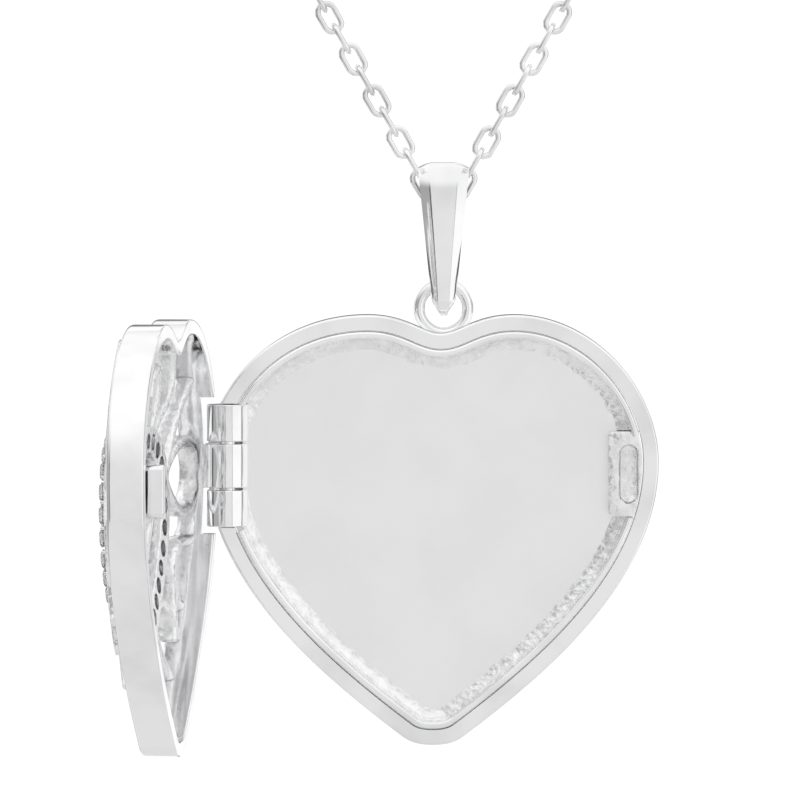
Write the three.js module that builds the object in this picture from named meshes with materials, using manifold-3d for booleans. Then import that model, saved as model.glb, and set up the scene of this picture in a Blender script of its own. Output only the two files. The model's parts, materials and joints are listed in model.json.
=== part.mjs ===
// Heart locket, open, hanging from a tapered bail on a cable chain.
// Millimetres, +Z up, the inside of the locket facing -Y.
// The origin is on the bail's middle line, where the two strands of chain meet inside its eye.
import * as THREE from 'three';
import { mergeVertices } from 'three/addons/utils/BufferGeometryUtils.js';
import Module from 'manifold-3d';

const wasm = await Module();
wasm.setup();

// Heart outline, shared by both halves
const HEART_WIDTH = 25.0;
const HEART_HEIGHT = 23.8;
const HEART_MID_X = -0.6; // the heart hangs a little to one side of the bail
const NOTCH_SHIFT = 0.45; // the notch stays under the ring
const NOTCH_DEPTH = 1.02;

// Back half
const PARTING_Y = -1.0; // plane where the halves meet
const BACK_THICKNESS = 2.2;
const PLATE_THICKNESS = 0.6;
const LEDGE_WIDTH = 0.88;
const LIP_WIDTH = 0.35;
const LIP_PROUD = 0.25;
const COVE_WIDTH = 0.46;
const COVE_HEIGHT = 0.3;

// Cover
const COVER_DEPTH = 2.1;
const COVER_WALL = 0.8;
const DOME_RISE = 1.6;
const OPEN_ANGLE = THREE.MathUtils.degToRad(98.7);

// Hinge
const BARREL_RADIUS = 1.15;
const BARREL_BEHIND = 0.7; // barrel axis behind the parting plane
const HINGE_TOP_DROP = 0.208 * HEART_HEIGHT; // from the heart's top to the upper knuckle
const UPPER_KNUCKLE = 2.04;
const MIDDLE_KNUCKLE = 2.43;
const LOWER_KNUCKLE = 2.03;
const KNUCKLE_SEAM = 0.13;
const PIN_RADIUS = 0.4;
const PIN_RUNNING_GAP = 0.05;
const LEAF_THICKNESS = 0.57;
const LEAF_REACH_IN = 0.9;
const LEAF_REACH_OUT = 0.45;
const STEP_MARGIN = 0.4;

// Catch
const SLOT_WIDTH = 0.88;
const SLOT_HEIGHT = 3.1;
const SLOT_DEPTH = 1.25;
const CATCH_DROP = 0.3693 * HEART_HEIGHT; // from the heart's top to the middle of the slot
const CATCH_INSET = 1.67; // from the heart's side to the middle of the slot
const POCKET_LENGTH = 4.7;
const POCKET_INNER_WALL = 0.69;
const TONGUE_GAP = 0.09;
const TONGUE_REACH = 0.9;
const TONGUE_ROOT = 1.0;
const FOOT_THICKNESS = 1.1;
const FOOT_EXTRA = 0.75;
const STAY_HOLE_RADIUS = 0.2;

// Small heart of stones in the cover
const BAND_HEART_WIDTH = 0.464 * HEART_WIDTH;
const BAND_HEART_HEIGHT = 0.4538 * HEART_HEIGHT;
const BAND_HEART_DROP = 0.2731 * HEART_HEIGHT;
const BAND_WIDTH = 1.5;
const BAND_THICKNESS = 1.5;
const STONE_PAIRS = 14;
const STONE_RADIUS = 0.54;
const SEAT_RADIUS = 0.5;
const STONE_LIFT = 0.09;
const PAVILION_DEPTH = 0.46;
const CROWN_HEIGHT = 0.16;
const TABLE_SHARE = 0.6;
const GIRDLE_HEIGHT = 0.04;
const BEAD_BAR = 0.12;

// Scrolls
const SCROLL_RADIUS = 0.3;
const SCROLL_DEPTH = 1.2; // from the front of the openwork to its back

// Bail and hanging ring
const EYE_DROP = 0.85; // from the origin down to the centre of the bail's eye
const EYE_RADIUS = 1.3;
const EYE_MOUTH_RADIUS = 1.5;
const EYE_STRAIGHT = 0.7;
const BAIL_STRIP = 0.35;
const BAIL_TOP_WIDTH = 2.84;
const BAIL_WAIST_WIDTH = 1.24;
const BAIL_LENGTH = 5.14; // from the eye's centre to the ring's wire
const BAIL_LOOP_RADIUS = 0.55;
const BAIL_TIP = 1.75; // from the ring's wire to the bail's tip
const RING_RADIUS = 1.34;
const RING_WIRE = 0.62;
const RING_SINK = 0.3;

// Chain and its ends
const LINK_LENGTH = 1.97;
const LINK_WIDTH = 1.27;
const LINK_WIRE = 0.32;
const LINK_PLAY = 0.01;
const LINKS_PER_SIDE = 10;
const STRAND_ANGLE = THREE.MathUtils.degToRad(60.3);
const CLASP_RADIUS = 2.3;
const CLASP_TUBE = 0.48;
const CLASP_BORE = 0.3;
const CLASP_EYE_RADIUS = 0.7;
const CLASP_EYE_WIRE = 0.36;
const CLASP_EYE_SINK = 0.3;
const CLASP_MOUTH = 40; // degrees
const TRIGGER_TRAVEL = 35; // degrees
const TRIGGER_HIDDEN = 18; // degrees of the trigger that stay in the tube
const TRIGGER_GAP = 0.05;
const TAB_RADIUS = 0.12;
const TAB_LENGTH = 0.75;
const END_RING_RADIUS = 1.5;
const END_RING_WIRE = 0.42;

// Clearances
const SOLDER_GAP = 0.02;
const RUNNING_GAP = 0.06;

// Places that follow from the sizes
const PIVOT_Z = -EYE_DROP - BAIL_LENGTH;
const RING_Z = PIVOT_Z - RING_RADIUS;
const NOTCH_Z = RING_Z - RING_RADIUS - RING_WIRE / 2 + RING_SINK;
const HEART_TOP = NOTCH_Z + NOTCH_DEPTH;
const BACK_Y = PARTING_Y + BACK_THICKNESS;
const LEDGE_Y = PARTING_Y + RUNNING_GAP;
const PLATE_Y = BACK_Y - PLATE_THICKNESS;
const COVER_FRONT_Y = PARTING_Y - COVER_DEPTH;
const HINGE_X = HEART_MID_X - HEART_WIDTH / 2 + BARREL_RADIUS;
const HINGE_Y = PARTING_Y + BARREL_BEHIND;
// The step cut into the cover's wall beside the barrel lets the open cover stand clear of the back half.
const STEP_REACH = BARREL_RADIUS * (1 - Math.cos(OPEN_ANGLE)) + RUNNING_GAP;
const STEP_DEPTH = STEP_REACH / Math.sin(OPEN_ANGLE) - BARREL_BEHIND;
const UPPER_TOP = HEART_TOP - HINGE_TOP_DROP;
const UPPER_LOW = UPPER_TOP - UPPER_KNUCKLE;
const MIDDLE_TOP = UPPER_LOW - KNUCKLE_SEAM;
const MIDDLE_LOW = MIDDLE_TOP - MIDDLE_KNUCKLE;
const LOWER_TOP = MIDDLE_LOW - KNUCKLE_SEAM;
const LOWER_LOW = LOWER_TOP - LOWER_KNUCKLE;
const SLOT_X = HEART_MID_X + HEART_WIDTH / 2 - CATCH_INSET;
const SLOT_Z = HEART_TOP - CATCH_DROP;
const FAR = 60; // reaches past everything when a cut goes right through

const SILVER = { color: 0xe4e5e7, roughness: 0.16, metalness: 1 };
const CHAIN_SILVER = { color: 0xdcdde0, roughness: 0.2, metalness: 1 };
const CLEAR_STONE = { color: 0xf3f6fb, roughness: 0.03, metalness: 0 };

const group = new THREE.Group();

// Solids

const WELD_DISTANCE = 1e-4;

function solid(geometry) {
  const loose = geometry.index ? geometry.toNonIndexed() : geometry;
  const bare = new THREE.BufferGeometry();
  bare.setAttribute('position', loose.getAttribute('position'));
  const merged = mergeVertices(bare, WELD_DISTANCE);
  const triVerts = new Uint32Array(merged.index.array);
  const vertProperties = merged.attributes.position.array;
  return new wasm.Manifold(new wasm.Mesh({ numProp: 3, vertProperties, triVerts }));
}

function join(...bodies) {
  return bodies.reduce((whole, body) => whole.add(body));
}

function bodyGeometry(body) {
  const made = body.getMesh();
  const geometry = new THREE.BufferGeometry();
  geometry.setAttribute('position', new THREE.BufferAttribute(new Float32Array(made.vertProperties), 3));
  geometry.setIndex(new THREE.BufferAttribute(new Uint32Array(made.triVerts), 1));
  return geometry;
}

function addPiece(name, body, finish, parent = group) {
  const geometry = bodyGeometry(body);
  geometry.computeVertexNormals();
  const mesh = new THREE.Mesh(geometry, new THREE.MeshStandardMaterial(finish));
  mesh.name = name;
  parent.add(mesh);
  return mesh;
}

// A flat outline in X and Z, pushed along Y.
function slab(outline, front, back) {
  const shape = outline instanceof THREE.Shape ? outline : new THREE.Shape(outline);
  const geometry = new THREE.ExtrudeGeometry(shape, { depth: back - front, bevelEnabled: false });
  geometry.rotateX(Math.PI / 2);
  geometry.translate(0, back, 0);
  return geometry;
}

// A wall of even height between two outlines.
function wall(outer, inner, front, back) {
  return solid(slab(outer, front, back)).subtract(solid(slab(inner, front - 1, back + 1)));
}

function block(low, high) {
  const geometry = new THREE.BoxGeometry(high[0] - low[0], high[1] - low[1], high[2] - low[2]);
  geometry.translate((low[0] + high[0]) / 2, (low[1] + high[1]) / 2, (low[2] + high[2]) / 2);
  return solid(geometry);
}

// An upright round bar on the hinge axis, with a bore where one is given.
function hingeBar(radius, low, high, bore = 0) {
  const shape = new THREE.Shape();
  shape.absarc(HINGE_X, HINGE_Y, radius, 0, 2 * Math.PI);
  if (bore > 0) {
    const hole = new THREE.Path();
    hole.absarc(HINGE_X, HINGE_Y, bore, 0, 2 * Math.PI);
    shape.holes.push(hole);
  }
  const geometry = new THREE.ExtrudeGeometry(shape, {
    depth: high - low,
    bevelEnabled: false,
    curveSegments: 12,
  });
  geometry.translate(0, 0, low);
  return solid(geometry);
}

// A wire of round section along an open curve.
function wire(points, radius, steps, sides = 5) {
  const section = new THREE.Shape();
  for (let side = 0; side < sides; side += 1) {
    const turn = (2 * Math.PI * side) / sides;
    const to = side === 0 ? 'moveTo' : 'lineTo';
    section[to](radius * Math.cos(turn), radius * Math.sin(turn));
  }
  const extrudePath = new THREE.CatmullRomCurve3(points);
  return solid(new THREE.ExtrudeGeometry(section, { steps, extrudePath, bevelEnabled: false }));
}

// A wire of round section along a closed curve.
function wireLoop(points, radius, steps, sides = 5) {
  const path = new THREE.CatmullRomCurve3(points, true);
  return solid(new THREE.TubeGeometry(path, steps, radius, sides, true));
}

// Heart outline: notch, right lobe, tip, left lobe. Shares are of the half width and of the height.
function heartOutline({ mid, top, width, height, notchShift, notchDepth, pieces }) {
  const at = (across, down) => new THREE.Vector2(mid + (across * width) / 2, top - down * height);
  const shift = notchShift / (width / 2);
  const dip = notchDepth / height;
  const halfOutline = (side) => {
    const lobe = shift + side * 0.325;
    const runs = [
      [at(shift, dip), at(shift + side * 0.08, dip), at(shift + side * 0.15, 0), at(lobe, 0)],
      [at(lobe, 0), at(side * 0.7, 0), at(side, 0.165), at(side, 0.342)],
      [at(side, 0.342), at(side, 0.615), at(side * 0.512, 0.8315), at(side * 0.128, 0.983)],
      [at(side * 0.128, 0.983), at(side * 0.088, 0.997), at(side * 0.044, 1), at(0, 1)],
    ];
    return runs.flatMap((run, index) => {
      const curve = new THREE.CubicBezierCurve(...run);
      return curve.getPoints(pieces[index]).slice(0, -1);
    });
  };
  const right = halfOutline(1);
  const left = halfOutline(-1);
  return [...right, at(0, 1), ...left.slice(1).reverse()];
}

function distanceTo(outline, point) {
  let nearest = Infinity;
  outline.forEach((start, index) => {
    const end = outline[(index + 1) % outline.length];
    const along = end.clone().sub(start);
    const share = THREE.MathUtils.clamp(point.clone().sub(start).dot(along) / along.lengthSq(), 0, 1);
    nearest = Math.min(nearest, point.distanceTo(start.clone().addScaledVector(along, share)));
  });
  return nearest;
}

// The outline moved inwards by a distance, or outwards where it is negative.
function inset(outline, distance) {
  const count = outline.length;
  const moved = outline.map((point, index) => {
    const before = point.clone().sub(outline[(index + count - 1) % count]).normalize();
    const after = outline[(index + 1) % count].clone().sub(point).normalize();
    const along = before.clone().add(after).normalize();
    const mitre = distance / along.dot(after);
    return new THREE.Vector2(point.x + along.y * mitre, point.y - along.x * mitre);
  });
  return moved.filter((point) => distanceTo(outline, point) > Math.abs(distance) * 0.998);
}

const OUTLINE = heartOutline({
  mid: HEART_MID_X,
  top: HEART_TOP,
  width: HEART_WIDTH,
  height: HEART_HEIGHT,
  notchShift: NOTCH_SHIFT,
  notchDepth: NOTCH_DEPTH,
  pieces: [5, 9, 10, 3],
});

// Back half

function hingeRelief(gap) {
  const open = block(
    [HINGE_X - FAR, HINGE_Y - FAR, LOWER_LOW - gap],
    [HINGE_X + BARREL_RADIUS + gap, HINGE_Y, UPPER_TOP + gap],
  );
  return hingeBar(BARREL_RADIUS + gap, LOWER_LOW - gap, UPPER_TOP + gap).add(open);
}

function pocketRoom(gap) {
  const low = SLOT_X - SLOT_WIDTH / 2 - POCKET_INNER_WALL;
  return block(
    [low - gap, LEDGE_Y - gap, SLOT_Z - POCKET_LENGTH / 2 - gap],
    [low + FAR, PLATE_Y - SOLDER_GAP + gap, SLOT_Z + POCKET_LENGTH / 2 + gap],
  );
}

function backRim() {
  const ring = wall(OUTLINE, inset(OUTLINE, LEDGE_WIDTH), LEDGE_Y, BACK_Y);
  const leafSwing = Math.hypot(LEAF_REACH_OUT, BARREL_BEHIND + STEP_DEPTH) + RUNNING_GAP;
  const leafRoom = hingeBar(leafSwing, MIDDLE_LOW - RUNNING_GAP, MIDDLE_TOP + RUNNING_GAP);
  return ring.subtract(hingeRelief(RUNNING_GAP)).subtract(leafRoom);
}

function backPlate() {
  const edge = LEDGE_WIDTH + SOLDER_GAP;
  const coveOuter = edge + LIP_WIDTH + 2 * SOLDER_GAP;
  const plate = solid(slab(inset(OUTLINE, edge), PLATE_Y, BACK_Y));
  const coveInner = inset(OUTLINE, coveOuter + COVE_WIDTH);
  const cove = wall(inset(OUTLINE, coveOuter), coveInner, PLATE_Y - COVE_HEIGHT, PLATE_Y + SOLDER_GAP);
  return join(plate, cove).subtract(hingeRelief(RUNNING_GAP)).subtract(pocketRoom(SOLDER_GAP));
}

// The lip runs in two lengths, from the hinge to the catch over the lobes and under the tip.
function bezelLip(side) {
  const outer = LEDGE_WIDTH + 2 * SOLDER_GAP;
  const lipOuter = inset(OUTLINE, outer);
  const lipInner = inset(OUTLINE, outer + LIP_WIDTH);
  const ring = wall(lipOuter, lipInner, LEDGE_Y - LIP_PROUD, PLATE_Y - SOLDER_GAP);
  const hingeMiddle = (UPPER_TOP + LOWER_LOW) / 2;
  const hingeHalf = (UPPER_TOP - LOWER_LOW) / 2 + STEP_MARGIN;
  const catchHalf = POCKET_LENGTH / 2 + SOLDER_GAP;
  const middle = { x: HEART_MID_X, y: (hingeMiddle + SLOT_Z) / 2 };
  const reach = side * FAR;
  const keep = new THREE.Shape([
    new THREE.Vector2(HINGE_X - FAR, hingeMiddle + side * hingeHalf),
    new THREE.Vector2(middle.x, hingeMiddle + side * hingeHalf),
    new THREE.Vector2(middle.x, SLOT_Z + side * catchHalf),
    new THREE.Vector2(HINGE_X + FAR, SLOT_Z + side * catchHalf),
    new THREE.Vector2(HINGE_X + FAR, middle.y + reach),
    new THREE.Vector2(HINGE_X - FAR, middle.y + reach),
  ]);
  return ring.intersect(solid(slab(keep, -FAR, FAR)));
}

function slotOutline(width, height) {
  const radius = width / 2;
  const straight = height / 2 - radius;
  const shape = new THREE.Shape();
  shape.absarc(SLOT_X, SLOT_Z + straight, radius, 0, Math.PI);
  shape.absarc(SLOT_X, SLOT_Z - straight, radius, Math.PI, 2 * Math.PI);
  return shape;
}

function catchPocket() {
  const room = pocketRoom(0);
  const inside = solid(slab(inset(OUTLINE, LEDGE_WIDTH + SOLDER_GAP), LEDGE_Y, PLATE_Y - SOLDER_GAP));
  const slot = solid(slab(slotOutline(SLOT_WIDTH, SLOT_HEIGHT), LEDGE_Y - FAR, LEDGE_Y + SLOT_DEPTH));
  return room.intersect(inside).subtract(slot);
}

function hangingRing() {
  const geometry = new THREE.TorusGeometry(RING_RADIUS, RING_WIRE / 2, 8, 28);
  geometry.rotateX(Math.PI / 2);
  geometry.translate(0, 0, RING_Z);
  const heart = solid(slab(inset(OUTLINE, -SOLDER_GAP), -FAR, FAR));
  return solid(geometry).subtract(heart);
}

addPiece('back_plate', backPlate(), SILVER);
addPiece('back_rim', backRim(), SILVER);
addPiece('bezel_lip_upper', bezelLip(1), SILVER);
addPiece('bezel_lip_lower', bezelLip(-1), SILVER);
addPiece('catch_pocket', catchPocket(), SILVER);
const FIXED_BORE = PIN_RADIUS + SOLDER_GAP;
addPiece('hinge_knuckle_upper', hingeBar(BARREL_RADIUS, UPPER_LOW, UPPER_TOP, FIXED_BORE), SILVER);
addPiece('hinge_knuckle_lower', hingeBar(BARREL_RADIUS, LOWER_LOW, LOWER_TOP, FIXED_BORE), SILVER);
addPiece('hinge_pin', hingeBar(PIN_RADIUS, LOWER_LOW, UPPER_TOP), SILVER);
addPiece('hanging_ring', hangingRing(), SILVER);

// Cover, drawn closed and then swung open about the hinge pin

const coverHinge = new THREE.Group();
coverHinge.position.set(HINGE_X, HINGE_Y, 0);
coverHinge.rotation.z = -OPEN_ANGLE;
const cover = new THREE.Group();
cover.position.set(-HINGE_X, -HINGE_Y, 0);
coverHinge.add(cover);
group.add(coverHinge);

const DOME_MID_Z = HEART_TOP - 0.41 * HEART_HEIGHT;
const DOME_REACH_X = HEART_WIDTH / 2 - COVER_WALL;
const DOME_REACH_Z = 0.53 * HEART_HEIGHT;

// How far the openwork stands in front of the cover's wall.
function domeRise(x, z) {
  const across = (x - HEART_MID_X) / DOME_REACH_X;
  const up = (z - DOME_MID_Z) / DOME_REACH_Z;
  return DOME_RISE * Math.max(0, 1 - across * across - up * up);
}

function domePoint(x, z, depth) {
  return new THREE.Vector3(x, COVER_FRONT_Y - domeRise(x, z) + depth, z);
}

function domeNormal(x, z) {
  const small = 0.05;
  const slopeX = (domeRise(x + small, z) - domeRise(x - small, z)) / (2 * small);
  const slopeZ = (domeRise(x, z + small) - domeRise(x, z - small)) / (2 * small);
  return new THREE.Vector3(-slopeX, -1, -slopeZ).normalize();
}

function coverRim() {
  const ring = wall(OUTLINE, inset(OUTLINE, COVER_WALL), COVER_FRONT_Y, PARTING_Y);
  const step = block(
    [HINGE_X - FAR, PARTING_Y - STEP_DEPTH, LOWER_LOW - STEP_MARGIN],
    [HINGE_X + BARREL_RADIUS, PARTING_Y + FAR, UPPER_TOP + STEP_MARGIN],
  );
  return ring.subtract(step);
}

function middleKnuckle() {
  const barrel = hingeBar(BARREL_RADIUS, MIDDLE_LOW, MIDDLE_TOP);
  const leafFront = PARTING_Y - STEP_DEPTH + SOLDER_GAP;
  const leaf = block(
    [HINGE_X - LEAF_REACH_OUT, leafFront, MIDDLE_LOW],
    [HINGE_X + LEAF_REACH_IN, leafFront + LEAF_THICKNESS, MIDDLE_TOP],
  );
  const bore = hingeBar(PIN_RADIUS + PIN_RUNNING_GAP, MIDDLE_LOW - 1, MIDDLE_TOP + 1);
  return join(barrel, leaf).subtract(bore);
}

const FOOT_BACK = PARTING_Y - STEP_DEPTH / 2;

function footRoom(gap) {
  const half = SLOT_WIDTH / 2 - TONGUE_GAP + gap;
  const halfHeight = SLOT_HEIGHT / 2 - TONGUE_GAP + gap;
  return block(
    [SLOT_X - half, FOOT_BACK - FOOT_THICKNESS - gap, SLOT_Z - halfHeight],
    [SLOT_X + FAR, FOOT_BACK + gap, SLOT_Z + halfHeight + FOOT_EXTRA],
  );
}

function catchTongue() {
  const half = SLOT_WIDTH / 2 - TONGUE_GAP;
  const halfHeight = SLOT_HEIGHT / 2 - TONGUE_GAP;
  const tongueTip = PARTING_Y + TONGUE_REACH;
  const tongue = solid(
    slab(slotOutline(2 * half, 2 * halfHeight), PARTING_Y - TONGUE_ROOT, tongueTip),
  );
  const foot = footRoom(0);
  const inside = solid(slab(inset(OUTLINE, COVER_WALL + SOLDER_GAP), COVER_FRONT_Y, tongueTip));
  const drill = new THREE.CylinderGeometry(STAY_HOLE_RADIUS, STAY_HOLE_RADIUS, FAR, 10);
  drill.rotateZ(Math.PI / 2);
  drill.translate(SLOT_X, FOOT_BACK - FOOT_THICKNESS / 2, SLOT_Z + halfHeight + FOOT_EXTRA / 2);
  return join(tongue, foot.subtract(solid(drill))).intersect(inside);
}

// Small heart band with a row of stone seats

const BAND_LINE = heartOutline({
  mid: HEART_MID_X,
  top: HEART_TOP - BAND_HEART_DROP,
  width: BAND_HEART_WIDTH,
  height: BAND_HEART_HEIGHT,
  notchShift: 0,
  notchDepth: NOTCH_DEPTH,
  pieces: [4, 7, 8, 2],
});

// Even places along the band's middle line, starting half a step from the notch.
function stonePlaces() {
  const path = new THREE.CatmullRomCurve3(
    BAND_LINE.map((point) => new THREE.Vector3(point.x, 0, point.y)),
    true,
  );
  const count = 2 * STONE_PAIRS;
  return Array.from({ length: count }, (_, index) => path.getPointAt((index + 0.5) / count));
}

function heartBand() {
  const outer = inset(BAND_LINE, -BAND_WIDTH / 2);
  const inner = inset(BAND_LINE, BAND_WIDTH / 2);
  const geometry = bodyGeometry(wall(outer, inner, 0, BAND_THICKNESS));
  const position = geometry.getAttribute('position');
  for (let index = 0; index < position.count; index += 1) {
    const lifted = domePoint(position.getX(index), position.getZ(index), position.getY(index));
    position.setXYZ(index, lifted.x, lifted.y, lifted.z);
  }
  return stonePlaces().reduce((band, place) => {
    const seat = new THREE.CylinderGeometry(SEAT_RADIUS, SEAT_RADIUS, 4 * BAND_THICKNESS, 6);
    const out = domeNormal(place.x, place.z);
    seat.applyQuaternion(new THREE.Quaternion().setFromUnitVectors(new THREE.Vector3(0, 1, 0), out));
    const middle = domePoint(place.x, place.z, 0).addScaledVector(out, -BAND_THICKNESS / 2);
    seat.translate(middle.x, middle.y, middle.z);
    return band.subtract(solid(seat));
  }, solid(geometry));
}

// A round brilliant, culet down the seat; its girdle stands just clear of the band.
function stone(place) {
  const profile = [
    new THREE.Vector2(0, -PAVILION_DEPTH),
    new THREE.Vector2(STONE_RADIUS, 0),
    new THREE.Vector2(STONE_RADIUS, GIRDLE_HEIGHT),
    new THREE.Vector2(STONE_RADIUS * TABLE_SHARE, CROWN_HEIGHT),
    new THREE.Vector2(0, CROWN_HEIGHT),
  ];
  const geometry = new THREE.LatheGeometry(profile, 6);
  const out = domeNormal(place.x, place.z);
  geometry.applyQuaternion(new THREE.Quaternion().setFromUnitVectors(new THREE.Vector3(0, 1, 0), out));
  const girdle = domePoint(place.x, place.z, 0).addScaledVector(out, STONE_LIFT);
  geometry.translate(girdle.x, girdle.y, girdle.z);
  return { body: solid(geometry), girdle: girdle.addScaledVector(out, GIRDLE_HEIGHT) };
}

// Two neighbouring stones with the shared bead between them.
function stonePair(first, second) {
  const one = stone(first);
  const two = stone(second);
  const bar = wire([one.girdle, two.girdle], BEAD_BAR / 2, 1, 4);
  return join(one.body, two.body, bar);
}

addPiece('cover_rim', coverRim(), SILVER, cover);
addPiece('hinge_knuckle_middle', middleKnuckle(), SILVER, cover);
addPiece('catch_tongue', catchTongue(), SILVER, cover);
addPiece('heart_band', heartBand(), SILVER, cover);

const places = stonePlaces();
for (let pair = 0; pair < STONE_PAIRS; pair += 1) {
  const name = `stones_${String(pair + 1).padStart(2, '0')}`;
  addPiece(name, stonePair(places[2 * pair], places[2 * pair + 1]), CLEAR_STONE, cover);
}

// Scrollwork. Its points are shares of the heart's half width and of its height from the top.

const SCROLL_STRETCH = SCROLL_DEPTH / (2 * SCROLL_RADIUS);

// The wires are drawn round and flattened, then stretched back to full depth by deepWires.
function scrollPoints(shares, side) {
  return shares.map(([across, down]) => {
    const x = HEART_MID_X + (side * across * HEART_WIDTH) / 2;
    const z = HEART_TOP - down * HEART_HEIGHT;
    const point = domePoint(x, z, SCROLL_DEPTH / 2);
    point.y /= SCROLL_STRETCH;
    return point;
  });
}

const INSIDE_WALL = solid(slab(inset(OUTLINE, COVER_WALL + SOLDER_GAP), -FAR, FAR));
const AROUND_BAND = solid(slab(inset(BAND_LINE, -BAND_WIDTH / 2 - SOLDER_GAP), -FAR, FAR));
const INSIDE_BAND = solid(slab(inset(BAND_LINE, BAND_WIDTH / 2 + SOLDER_GAP), -FAR, FAR));

function deepWires(wires) {
  return join(...wires).scale([1, SCROLL_STRETCH, 1]);
}

function outerScroll(side, loops, strands) {
  const wires = [
    ...loops.map((shares) => wireLoop(scrollPoints(shares, side), SCROLL_RADIUS, 2 * shares.length)),
    ...strands.map((shares) => wire(scrollPoints(shares, side), SCROLL_RADIUS, 2 * shares.length)),
  ];
  return deepWires(wires).intersect(INSIDE_WALL).subtract(AROUND_BAND).subtract(footRoom(SOLDER_GAP));
}

const LOBE_LOOP = [
  [0.2, 0.235], [0.08, 0.16], [0.16, 0.075], [0.36, 0.03],
  [0.53, 0.085], [0.56, 0.17], [0.42, 0.235], [0.31, 0.275],
];
const LOBE_CURL = [[0.33, 0.26], [0.37, 0.19], [0.34, 0.12], [0.27, 0.13], [0.26, 0.175]];
const SIDE_LOOP = [
  [0.57, 0.37], [0.72, 0.3], [0.88, 0.3], [0.95, 0.37],
  [0.88, 0.44], [0.74, 0.45],
];
const SIDE_STRAND = [[0.57, 0.36], [0.64, 0.27], [0.72, 0.2], [0.8, 0.15], [0.86, 0.13]];
const LOWER_SPIRAL = [
  [0.93, 0.46], [0.86, 0.52], [0.73, 0.53], [0.625, 0.59], [0.66, 0.67], [0.77, 0.655],
];
const LOWER_STRAND = [[0.63, 0.62], [0.5, 0.57], [0.43, 0.57]];
const LOWER_LOOP = [[0.25, 0.7], [0.45, 0.66], [0.57, 0.73], [0.48, 0.84], [0.33, 0.8]];
const LOWER_TAIL = [[0.61, 0.62], [0.585, 0.69], [0.55, 0.75]];
const TIP_LOOP = [
  [0, 0.74], [0.12, 0.82], [0.1, 0.89], [0, 0.96],
  [-0.1, 0.89], [-0.12, 0.82],
];
const HEART_LOOP = [
  [0, 0.42], [0.13, 0.37], [0.3, 0.36], [0.36, 0.44],
  [0.26, 0.53], [0.12, 0.62], [0, 0.68],
  [-0.12, 0.62], [-0.26, 0.53], [-0.36, 0.44], [-0.3, 0.36], [-0.13, 0.37],
];
const HEART_STAY = [[-0.5, 0.45], [-0.33, 0.46], [0.33, 0.46], [0.5, 0.45]];

for (const [word, side] of [['left', -1], ['right', 1]]) {
  addPiece(`scroll_lobe_${word}`, outerScroll(side, [LOBE_LOOP], [LOBE_CURL]), SILVER, cover);
  addPiece(`scroll_side_${word}`, outerScroll(side, [SIDE_LOOP], [SIDE_STRAND]), SILVER, cover);
  const lower = outerScroll(side, [LOWER_LOOP], [LOWER_SPIRAL, LOWER_STRAND, LOWER_TAIL]);
  addPiece(`scroll_lower_${word}`, lower, SILVER, cover);
}
addPiece('scroll_tip', outerScroll(1, [TIP_LOOP], []), SILVER, cover);
const heartFill = deepWires([
  wireLoop(scrollPoints(HEART_LOOP, 1), SCROLL_RADIUS, 20),
  wire(scrollPoints(HEART_STAY, 1), SCROLL_RADIUS, 6),
]);
addPiece('scroll_heart', heartFill.intersect(INSIDE_BAND), SILVER, cover);

// Bail: a strip folded over the chain and under the ring.
// It is drawn from the side and trimmed to its front outline.

function bail() {
  const eyeZ = -EYE_DROP;
  const side = new THREE.Shape();
  const low = BAIL_LOOP_RADIUS + BAIL_STRIP;
  const tipZ = PIVOT_Z - BAIL_TIP;
  side.absarc(0, eyeZ, EYE_RADIUS + BAIL_STRIP, 0, Math.PI);
  side.lineTo(-low, PIVOT_Z);
  side.quadraticCurveTo(-low, tipZ, 0, tipZ);
  side.quadraticCurveTo(low, tipZ, low, PIVOT_Z);
  const gap = new THREE.Path();
  gap.absarc(0, eyeZ, EYE_RADIUS, 0, Math.PI);
  gap.absarc(0, PIVOT_Z, BAIL_LOOP_RADIUS, Math.PI, 2 * Math.PI);
  side.holes.push(gap);
  const strip = new THREE.ExtrudeGeometry(side, {
    depth: BAIL_TOP_WIDTH,
    bevelEnabled: false,
    curveSegments: 14,
  });
  strip.translate(0, 0, -BAIL_TOP_WIDTH / 2);
  const turn = new THREE.Matrix4().makeBasis(
    new THREE.Vector3(0, 1, 0),
    new THREE.Vector3(0, 0, 1),
    new THREE.Vector3(1, 0, 0),
  );
  strip.applyMatrix4(turn);
  const top = BAIL_TOP_WIDTH / 2;
  const waist = BAIL_WAIST_WIDTH / 2;
  const waistZ = PIVOT_Z - BAIL_LOOP_RADIUS;
  const front = new THREE.Shape();
  front.moveTo(-top, FAR);
  front.lineTo(-top, eyeZ + EYE_RADIUS);
  front.lineTo(-waist, waistZ);
  front.bezierCurveTo(-waist, tipZ + waist / 2, -waist / 2, tipZ, 0, tipZ);
  front.bezierCurveTo(waist / 2, tipZ, waist, tipZ + waist / 2, waist, waistZ);
  front.lineTo(top, eyeZ + EYE_RADIUS);
  front.lineTo(top, FAR);
  const trimmed = solid(strip).intersect(solid(slab(front, -FAR, FAR)));
  return [-1, 1].reduce((body, end) => {
    const mouth = new THREE.CylinderGeometry(EYE_MOUTH_RADIUS, EYE_RADIUS, top - EYE_STRAIGHT, 28);
    mouth.rotateZ((-end * Math.PI) / 2);
    mouth.translate((end * (top + EYE_STRAIGHT)) / 2, 0, eyeZ);
    return body.subtract(solid(mouth));
  }, trimmed);
}

addPiece('bail', bail(), SILVER);

// Chain: a middle link level in the bail's eye, then two straight strands

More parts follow.
